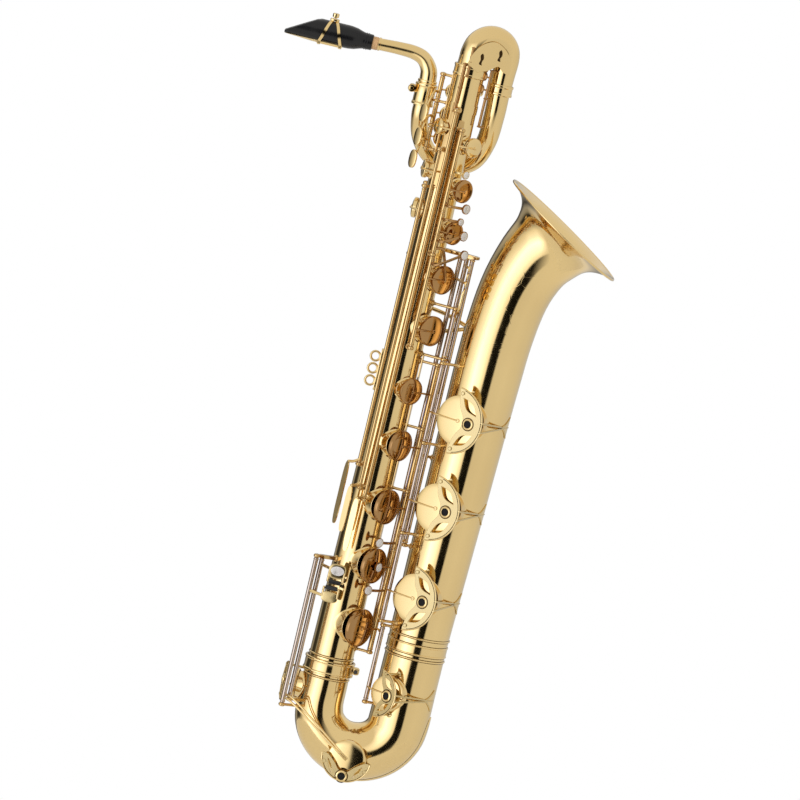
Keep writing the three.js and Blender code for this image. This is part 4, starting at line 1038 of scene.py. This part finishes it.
def guard(name, line, spot, lift, axis, feet, tilt=0.0, boss=0.56):
    rim, normal, cup, radius = spot["rim"], spot["normal"], spot["cup"], spot["radius"]
    away = normal.cross(UP)
    if away.dot(rim - at(line, rim.z)) < 0:
        away.negate()

    def towards(degrees):
        turn = math.radians(degrees - tilt)
        return away * math.cos(turn) + UP * math.sin(turn)

    covers, across = towards(0), towards(90)
    angle = opening(line, spot, lift)
    height = CUP + 3.6
    top = rim + normal * height
    made = Shape()

    def flat(x, y, rise=0.0):
        return top + covers * x * cup + across * y * cup + normal * rise

    centre, reach = -0.15, 1.33
    border = [(centre + reach * math.cos(t), reach * math.sin(t)) for t in
              (math.radians(-87 + 174 * k / 40) for k in range(41))]
    dip = boss - 0.56
    upper = [V(-0.09, 1.24, 0), V(-0.05, 1.0, 0), V(0.06 + dip * 0.6, 0.58, 0), V(boss - 0.3, 0.26, 0)]
    inner = spline([*upper, V(boss - 0.25, 0, 0), *(V(p.x, -p.y, 0) for p in reversed(upper))], 6)
    border += [(p.x, p.y) for p in inner]
    slots = []
    for side in (1, -1):
        start, end = V(0.08, 0.98, 0), V(0.86 + dip * 0.3, 0.36 + dip * 0.5, 0)
        leaf = spline([start, V(0.58, 0.82, 0), end], 8)
        leaf += spline([end, V(0.36 + dip * 0.4, 0.52 + dip * 0.4, 0), start], 8)[1:-1]
        slots.append([(p.x, p.y * side) for p in leaf])
    verts, faces = guard_plate([[(x * cup, y * cup) for x, y in outline] for outline in [border, *slots]],
                               1.8)
    made.add([top + covers * v.x + across * v.y + normal * (0.9 + v.z) for v in verts], faces)
    edge = Shape().sweep([flat(x * 0.99, y * 0.99, 1.9) for x, y in border[:41]], 10, 0.95)
    edge.swing(line, angle)
    edge.make(name + "_edge", "frame", BRASS)
    # A dark line just inside the plate's border and a dark ring round the felt holder: painted shade that
    # outlines them, not cut grooves.
    shade_outline = Shape().sweep([flat(centre + (x - centre) * 0.955, y * 0.955, 1.55) for x, y in border[2:39]], 8,
                           0.5)
    seat = flat(boss, 0)
    bead(shade_outline, seat + normal * 1.9, normal, 9.0, 0.5, 40)
    shade_outline.swing(line, angle)
    shade_outline.make(name + "_groove", "frame", SHADE)
    made.swing(line, angle)
    cup_ring = Shape().lathe([(5.2, 0.2), (8.2, 0.2), (8.4, 2.4), (7.7, 3.5), (6.4, 3.9), (5.5, 3.5),
                              (5.2, 2.9)], seat, normal, 40)
    cup_ring.swing(line, angle)
    cup_ring.make(name + "_felt_holder", "frame", BRASS)
    felt = Shape().lathe([(0, -0.2), (5.1, -0.2), (5.1, 2.2), (4.6, 2.6), (0, 2.6)], seat, normal, 36)
    felt.swing(line, angle)
    felt.make(name + "_felt", "frame", FELT)
    turn = Quaternion(UP, angle)
    pivot = at(line, 0)
    along = spot["along"]
    side_axis = along.cross(normal)

    def skin(s, t, over=0.0):
        """A point on the tube at an arc s round it from the hole, and t along it."""
        bend = s / radius
        out = radius + over
        return axis(rim + along * t) + side_axis * out * math.sin(bend) + normal * out * math.cos(bend)

    def swung(p):
        return turn @ (p - pivot) + pivot

    for degrees in feet:
        aim = towards(degrees)
        s, t = aim.dot(side_axis), aim.dot(along)
        if abs(degrees) < 1 and tilt == 0:
            way = 1 if s > 0 else -1
            hub = skin(way * radius * 1.22, 0, 2.0)
            for y in (-0.22, 0.22):
                made.wire([swung(flat(1.12, y, 0.6)), swung(flat(1.17, y * 0.8, -3)), hub + along * y * 5],
                          1.4, 1.0)
            for spread in (-13, 0, 13):
                made.wire([hub, skin(way * radius * 1.38, spread * 0.25, 0.9),
                           skin(way * radius * 1.55, spread * 0.75, 0.9),
                           skin(way * radius * (1.66 if spread else 1.74), spread * 1.15, 0.9)], 1.4, 0.9,
                          tip=0.6)
            continue
        foot_s = max(-0.9, min(0.9, s * (cup + 4.2) / radius)) * radius
        base = skin(math.asin(foot_s / radius) * radius, t * (cup + 4.2), -0.3)
        high = swung(flat(0, 0) + aim * (cup + 4.2) + normal * 1.2)
        made.rod(base, high, 1.9, 16, end=1.7)
        made.lathe([(0, 0), (4.4, 0), (4.2, 0.9), (2.2, 1.5), (0, 1.5)], base, high - base, 24)
        made.lathe([(0, 0), (2.9, 0), (2.9, 1.4), (2.0, 2.2), (0, 2.3)], high, turn @ normal, 24)
    # The guard plate's darker satin brass is partly painted shade.
    made.make(name + "_plate", "frame", SATIN_SHADED_BRASS, [name])


def guards():
    def bell_axis(p):
        return V(bell_axis_x(p.z), 0, p.z)

    for name, spot in (("low_a_guard", "low_a"), ("low_b_flat_guard", "low_b_flat"),
                       ("low_b_guard", "low_b")):
        guard(name, BELL_KEYS, BELL_HOLES[spot], 9, bell_axis, (88, 0, -88))
    guard("low_c_sharp_guard", C_SHARP, BOW_HOLES["c_sharp"], 7, lambda p: V(113.3, 0, p.z), (80, 0, -80))
    guard("low_c_guard", LOW_C, BOW_HOLES["c"], 10, lambda p: V(p.x, 0, -113), (72, -72), 92, 0.9)
    guard("low_e_flat_guard", LOW_E_FLAT, BOW_HOLES["e_flat"], 6, lambda p: V(0, 0, p.z), (60, -60))


# ---- Fittings ----
def fittings():
    # The clamp of body and bow: a split ring with a bead at each edge, drawn together by its screw.
    clamp = Shape()
    profile = [(32.8, -12), (35.2, -12), (36.0, -11.2), (36.0, -9.4), (35.2, -8.6), (35.0, -8.0), (35.0, 4.0),
               (35.2, 4.6),
               (36.0, 5.4), (36.0, 7.2), (35.2, 8), (32.8, 8)]
    slit = math.degrees(math.asin(1.2 / 34))
    rings = [[V(r * math.cos(a), r * math.sin(a), z) for r, z in profile]
             for a in (math.radians(slit + (360 - 2 * slit) * k / 120) for k in range(121))]
    clamp.grid(rings)
    for side in (-1, 1):
        clamp.slab(stadium(11.5, 10, 3.4), 3.7, V(37.8, side * 3.1, -2), V(1, 0, 0), UP, 0.6)
    clamp.make("bow_clamp", "frame", BRASS, ["bow_clamp_ring"])
    base, outward = V(38.5, -5.4, -2), V(0, -1, 0)
    screw = Shape().lathe([(0, 0), (3.2, 0), (3.6, 0.4), (3.6, 3.6), (2.8, 4.4), (0, 4.4)], base, outward, 40)
    screw.rod(base, base - outward * 11.5, 1.8, 20)
    screw.make("bow_clamp_screw_head", "bow_clamp_screw", STEEL, ["bow_clamp_screw"])

    receiver = Shape()
    profile = [(12.6, 795), (14.9, 795), (15.6, 795.8), (15.6, 798), (15.0, 799), (14.7, 800), (14.7, 821),
               (15.2, 822),
               (15.7, 823), (15.7, 825.2), (15.0, 826), (12.6, 826)]
    slit = math.degrees(math.asin(1.2 / 14))
    rings = [[V(-55 - r * math.cos(a), 16 + r * math.sin(a), z) for r, z in profile]
             for a in (math.radians(slit + (360 - 2 * slit) * k / 80) for k in range(81))]
    receiver.grid(rings)
    for side in (-1, 1):
        receiver.slab(stadium(9.5, 11, 3.4), 3.7, V(-73.5, 16 + side * 3.1, 816), V(1, 0, 0), UP, 0.6)
    receiver.slab(stadium(25, 9, 5), 3, V(-31, 18, 806), V(36, -2, 0), V(0, 1, 0), 0.5)
    receiver.lathe([(21.0, -6), (22.2, -6), (22.2, 6), (21.0, 6)], V(0, 0, 806), UP, 72)
    receiver.make("neck_socket", "frame", BRASS, ["neck_receiver"])
    knob = Shape().lathe([(0, 0), (4.6, 0), (5.5, 0.8), (5.5, 5.4), (4.8, 6.2), (2.4, 6.4), (2.2, 6.7),
                          (0, 6.7)],
                         V(-74, 9.7, 816), V(0, -1, 0), 20)
    knob.rod(V(-74, 9, 816), V(-74, 22.5, 816), 1.8, 20)
    knob.make("neck_clamp_knob", "neck_clamp_screw", BRASS, ["neck_clamp_screw"], sharp=25)

    brace = Shape()
    for z in (488, 522):
        brace.wire([V(20, 16.6, z), V(50, 20, z + (505 - z) * 0.35), V(83, 23.4, 505)], 2.9, 1.0)
        direction = V(14, 16, 0).normalized()
        brace.slab(stadium(12, 14, 2.4), 1.6, V(0, 0, z) + direction * 25.4 + V(3.5, -2.0, 0), UP,
                   direction.cross(UP), 0.4)
    brace.slab(stadium(22, 14, 2.4), 1.6, V(bell_axis_x(505), 0, 505) + V(-33.5, 24, 0).normalized() * 49.0,
               UP,
               V(-33.5, 24, 0).normalized().cross(UP), 0.4)
    brace.make("body_to_bell_brace", "frame", BRASS, ["bell_brace"])

    # The knock plate: a leaf that follows the bow's outer bend.
    line = stations(spline(BOW_POINTS, 24), evenly(90))
    rings = []
    for i in range(39, 66):
        tangent = (line[i + 1] - line[i - 1]).normalized()
        out = tangent.cross(V(0, 1, 0))
        if out.z > 0 and out.x < 0:
            out.negate()
        share = (i - 39) / 26
        half = 0.40 * math.sqrt(max(0.0, 1 - (2 * share - 1) ** 4)) + 0.02
        radius = bow_radius(i / 90)
        cross = [(half * (k / 6 - 1), 0.3 if k in (0, 12) else 1.6) for k in range(13)]
        ring = [line[i] + (out * math.cos(a) + V(0, 1, 0) * math.sin(a)) * (radius + grow) for a,
                grow in cross]
        ring += [line[i] + (out * math.cos(a) + V(0, 1, 0) * math.sin(a)) * (radius + 0.2) for a,
                 _ in reversed(cross[1:-1])]
        rings.append(ring)
    Shape().grid(rings).make("bow_knock_plate", "frame", BRASS, ["bow_guard_plate"])

    straps = Shape().slab(stadium(60, 11, 5), 4.0, V(-28.2, 0, 422), UP, V(0, 1, 0), 0.8)
    for up in (-17.5, 0, 17.5):
        ring = [V(-37 + 6.6 * math.cos(a), 0, 422 + up + 6.6 * math.sin(a)) for a in turns(48)]
        rings = []
        for p in ring:
            out = (p - V(-37, 0, 422 + up)).normalized()
            rings.append([p + out * 1.7 * math.cos(b) + V(0, 1.7, 0) * math.sin(b) for b in turns(14)])
        straps.grid(rings, wrap_rings=True)
    straps.make("strap_eyes", "frame", BRASS, ["strap_ring"])

    Shape().slab(stadium(22, 24, 3.6), 5, V(0, 26, 640), UP, V(1, 0, 0), 0.9).make(
        "thumb_rest_pad", "frame", EBONITE, ["thumb_rest"])
    hook = Shape().slab(stadium(28, 15, 5), 4.6, V(0, 30, 250), UP, V(1, 0, 0), 0.8)
    hook.wire([V(0, 31, 258), V(0, 45, 262), V(0, 55, 256), V(0, 58, 244), V(0, 54, 236)], 3.5, 1.0, tip=0.9)
    hook.make("thumb_hook_bar", "frame", BRASS, ["thumb_hook"])

    spout = V(-14, 45.6, 708.4)
    water = Shape().lathe([(0, -3.8), (3.6, -3.8), (4.5, -3.0), (4.5, -1.2), (0, -1.2)], spout, UP, 32)
    water.wire([spout + V(0, 0, -3), V(-6, 46, 702.6), V(0, 46, 702), V(10, 46, 700)], 1.6, 1.0)
    water.rod(V(0, 42, 702), V(0, 50, 702), 2, 20)
    water.make("water_key_lever", "water_key", BRASS, ["water_key"])


# ---- Neck and mouthpiece ----
def hull(points):
    """The convex outline of flat points."""
    pts = sorted(set((round(x, 5), round(y, 5)) for x, y in points))

    def half(seq):
        made = []
        for p in seq:
            while len(made) > 1 and ((made[-1][0] - made[-2][0]) * (p[1] - made[-2][1])
                                     - (made[-1][1] - made[-2][1]) * (p[0] - made[-2][0])) <= 0:
                made.pop()
            made.append(p)
        return made[:-1]

    return half(pts) + half(reversed(pts))


def around(grow, count=96):
    """Evenly spaced points round mouthpiece and reed, grown outwards, starting at the top."""
    circle = [((16.3 + grow) * math.cos(a), (16.3 + grow) * math.sin(a)) for a in turns(120)]
    low = -17.4 - grow
    line = hull(circle + [(8.5 + grow, low), (-8.5 - grow, low)])
    top = max(range(len(line)), key=lambda k: line[k][1])
    line = line[top:] + line[:top] + [line[top]]
    return [(p.x, p.y) for p in stations([V(x, y, 0) for x, y in line], [k / count for k in range(count)])]


def neck_and_mouthpiece():
    def neck_radius(u):
        return mix([(0, 11.9), (0.2, 11.9), (0.3, 10.8), (0.45, 9.6), (0.6, 8.8), (0.8, 8.2), (0.88, 7.6),
                    (1, 7.4)], u)

    neck = pipe(NECK_POINTS, 90, 56, neck_radius)
    neck.lathe([(11.6, 827), (13.0, 827), (13.6, 827.8), (13.6, 830.2), (13.0, 831), (11.6, 831)],
               V(-55, 16, 0), UP, 56)
    neck.make("neck_pipe", "neck", BRASS, ["neck"])
    bands = Shape()
    bands.lathe([(7.4, 0), (9.0, 0), (9.4, 0.5), (9.4, 2.5), (9.0, 3), (7.4, 3)], V(-130.5, 16, 864.2),
                V(-1, 0, 0), 48)
    bands.make("neck_cork_band", "neck", BRASS)
    along = V(-1, 0, 0)
    Shape().lathe([(7.7, 0), (8.6, 0), (9.2, 0.8), (9.2, 33.0), (8.8, 34), (7.7, 34)], V(-134, 16, 864),
                  along, 56).make(
        "neck_cork_sleeve", "neck", CORK, ["neck_cork"])

    slope = 25.5 / 44

    def outline(x, r):
        ring = []
        for a in turns(72):
            y, z = r * math.cos(a), r * math.sin(a)
            if x < -185:
                z = max(z, max(-13.6, -r))
            if x < -221:
                z = min(z, 15.5 - slope * (-221 - x))
            ring.append(V(x, 16 + y, 864 + z))
        return ring

    body = [(-142, 10.4), (-142.4, 11), (-150, 11.3), (-154, 11.4), (-158, 12.4), (-166, 15.0), (-174, 16.1),
            (-178, 16.3)]
    body += [(-182 - 3 * k, 16.3) for k in range(13)]
    body += [(-221 - 2 * k, 16.3 - 1.1 * k / 22) for k in range(1, 23)]
    rings = [outline(x, r) for x, r in [(-178, 9.5), (-160, 9.5), (-142, 9.5), *body]]
    piece = Shape().grid(rings)
    for x in (-149, -152):
        bead(piece, V(x, 16, 864), along, 11.3, 0.7, 56)
    piece.make("mouthpiece_body", "mouthpiece", EBONITE, ["mouthpiece"])

    rings = []
    for k in range(41):
        x = -192 - 72.5 * k / 40
        low = mix([(-265, 849.5), (-225, 847), (-192, 846.6)], x)
        wide = 8.5 * (1 if x > -260 else math.sqrt(max(0.05, 1 - ((-260 - x) / 5) ** 2)))
        upper = 850.1 if x > -225 else 849.9
        rings.append([V(x, 16 + wide * y, z) for y,
                      z in ((-1, upper), (1, upper), (1, low + 0.6), (0.75, low + 0.15),
                                                          (0.4, low), (-0.4, low), (-0.75, low + 0.15),
                                                          (-1, low + 0.6))])
    Shape().grid(rings).make("reed_blade", "mouthpiece", CANE, ["reed"])

    # The ligature: strips that spread from the screw's saddle down to two rails beside the reed.
    outer, inner = around(1.5), around(0.35)
    made = Shape()

    def strip(x0, k0, x1, k1, width):
        steps = 28
        run = V(x1 - x0, (k1 - k0) * 1.15, 0).normalized() * (width / 2)
        rings = []
        for s in range(steps + 1):
            u = s / steps
            ring = []
            for table, sense in ((outer, 1), (outer, -1), (inner, -1), (inner, 1)):
                k = k0 + (k1 - k0) * u + sense * run.x / 1.15
                x = x0 + (x1 - x0) * u - sense * run.y
                p, q = table[int(math.floor(k)) % 96], table[(int(math.floor(k)) + 1) % 96]
                part = k - math.floor(k)
                ring.append(V(x, 16 + p[0] + (q[0] - p[0]) * part, 864 + p[1] + (q[1] - p[1]) * part))
            rings.append(ring)
        made.grid(rings)

    for side in (1, -1):
        strip(-203, 3 * side, -215, 35 * side, 4.0)
        strip(-197, 3 * side, -185, 35 * side, 4.0)
        strip(-218, 48 - 11 * side, -182, 48 - 11 * side, 3.2)
    for x in (-215, -185):
        strip(x, 35, x, 61, 4.0)
    made.slab(stadium(13, 9, 3), 3.4, V(-200, 16, 882.6), V(1, 0, 0), V(0, 1, 0), 0.6)
    made.make("ligature_bands", "mouthpiece", BRASS, ["ligature"])
    thumb = Shape().lathe([(0, 884.9), (2.4, 884.9), (2.4, 886), (4.0, 886.2), (4.6, 887), (4.6, 891.2),
                           (4.0, 892), (0, 892)],
                          V(-200, 16, 0), UP, 14)
    thumb.make("ligature_thumb_screw", "ligature_screw", BRASS, ["ligature_screw"], sharp=20)


def rollers():
    for name, x, z, line, turn in (("c_roller", -20, 113, LOW_C, opening(LOW_C, BOW_HOLES["c"], 10)),
                                   ("e_flat_roller", -19, 121.5, LOW_E_FLAT, 0.0)):
        drum = Shape().lathe([(0, 0), (2.6, 0), (3.2, 0.7), (3.2, 16.7), (2.6, 17.4), (0, 17.4)],
                             V(x - 8.7, -48, z), V(1, 0, 0), 36)
        drum.swing(line, turn)
        drum.make(name + "_drum", name, BLACK, [name])


tubes()
posts()
stacks()
upper_bow_details()
bell_keys()
low_keys()
side_keys()
guards()
fittings()
neck_and_mouthpiece()
rollers()


# ---- Stage ----
def card(name, centre, aim, size, power):
    light = bpy.data.lights.new(name, "AREA")
    light.shape = "RECTANGLE"
    light.size, light.size_y = size
    light.energy = power
    obj = bpy.data.objects.new(name, light)
    obj.location = centre
    obj.rotation_euler = (Vector(aim) - Vector(centre)).to_track_quat("-Z", "Y").to_euler()
    obj.visible_glossy = False
    bpy.context.scene.collection.objects.link(obj)


card("key_light", (-1.6, -2.2, 1.8), (0.05, 0, 0), (1.6, 1.6), 26)
card("fill_light", (2.2, -1.6, 0.6), (0.05, 0, 0), (1.8, 1.8), 10)

FLOOR_RADIUS = 1.1
FLOOR_HEIGHT = -0.95
floor_mesh = bpy.data.meshes.new("floor")
floor_mesh.from_pydata([(FLOOR_RADIUS * math.cos(a), FLOOR_RADIUS * math.sin(a), FLOOR_HEIGHT)
                        for a in (math.pi * k / 48 for k in range(96))], [], [tuple(range(96))])
floor = bpy.data.objects.new("floor", floor_mesh)
bpy.context.scene.collection.objects.link(floor)
pale = Look("pale_floor")
pale.ramp(pale.noise(3), [(0.2, (0.78, 0.78, 0.78)), (0.8, (0.82, 0.82, 0.82))], "Base Color")
pale.ramp(pale.noise(8), [(0.2, 0.7), (0.8, 0.8)], "Roughness")
floor_mesh.materials.append(pale.material)

# The room as the brass sees it: a bright screen to the left, darkness ahead, pale walls to the right.
world = bpy.data.worlds.new("studio")
world.use_nodes = True
tree = world.node_tree
sky = tree.nodes["Background"]
coords = tree.nodes.new("ShaderNodeTexCoord")
parts = tree.nodes.new("ShaderNodeSeparateXYZ")
tree.links.new(coords.outputs["Generated"], parts.inputs["Vector"])


def calculate(operation, a, b=None):
    made = tree.nodes.new("ShaderNodeMath")
    made.operation = operation
    for socket, value in zip(made.inputs, (a, b)):
        if isinstance(value, (int, float)):
            socket.default_value = value
        elif value is not None:
            tree.links.new(value, socket)
    return made.outputs[0]


bearing = calculate("ARCTAN2", parts.outputs["X"], calculate("MULTIPLY", parts.outputs["Y"], -1.0))
share = calculate("ADD", calculate("DIVIDE", bearing, 2 * math.pi), 0.5)
walls = tree.nodes.new("ShaderNodeValToRGB")
stops = [(-180, 0.30), (-160, 0.05), (-146, 0.34), (-134, 0.30), (-124, 0.03), (-102, 0.05), (-92, 0.42),
         (-78, 1.0),
         (-60, 1.4), (-44, 2.4), (-24, 1.7), (-9, 1.1), (-6, 0.01), (17, 0.005), (21, 0.76), (60, 0.80),
         (112, 0.74),
         (150, 0.62), (168, 0.60), (180, 0.30)]
while len(walls.color_ramp.elements) < len(stops):
    walls.color_ramp.elements.new(0.5)
for element, (bearing_of, level) in zip(walls.color_ramp.elements, stops):
    element.position = (bearing_of + 180) / 360
    tint = (0.96, 1.0, 1.12) if level > 1.2 else (1.0, 0.985, 0.95)
    element.color = (*(level * share_of for share_of in tint), 1)
tree.links.new(share, walls.inputs["Fac"])
ceiling = tree.nodes.new("ShaderNodeMapRange")
ceiling.inputs["From Min"].default_value = 0.2
ceiling.inputs["From Max"].default_value = 0.5
tree.links.new(calculate("ABSOLUTE", calculate("ADD", parts.outputs["Z"], 0.12)), ceiling.inputs["Value"])


def mixed(share, colour, other):
    """Blends a socket's colour into a plain one."""
    made = tree.nodes.new("ShaderNodeMix")
    made.data_type = "RGBA"
    first, second = [socket for socket in made.inputs if socket.type == "RGBA"]
    tree.links.new(share, made.inputs[0])
    tree.links.new(colour, first)
    second.default_value = other
    return [socket for socket in made.outputs if socket.type == "RGBA"][0]


room = mixed(ceiling.outputs["Result"], walls.outputs["Color"], (0.82, 0.80, 0.76, 1))
rays = tree.nodes.new("ShaderNodeLightPath")
tree.links.new(mixed(rays.outputs["Is Camera Ray"], room, (1, 1, 1, 1)), sky.inputs["Color"])
bpy.context.scene.world = world

# ---- Camera: a long lens, a little above the instrument and turned so that its top leans to the right ----
ROLL = math.radians(13.4)
ELEVATION = math.radians(7)
AIM = (0.0476, 0, -0.0352)
VIEW_WIDTH = 1.12
DISTANCE = 9.0
camera_data = bpy.data.cameras.new("camera")
camera_data.sensor_width = 36
camera_data.lens = 36 * DISTANCE / VIEW_WIDTH
camera_data.clip_end = 40
camera = bpy.data.objects.new("camera", camera_data)
camera.matrix_world = (Matrix.Translation(AIM) @ Matrix.Rotation(-ELEVATION, 4, "X")
                       @ Matrix.Translation((0, -DISTANCE, 0)) @ Matrix.Rotation(-ROLL, 4, "Y")
                       @ Matrix.Rotation(math.pi / 2, 4, "X"))
bpy.context.scene.collection.objects.link(camera)
bpy.context.scene.camera = camera
bpy.context.scene.view_settings.view_transform = "Standard"
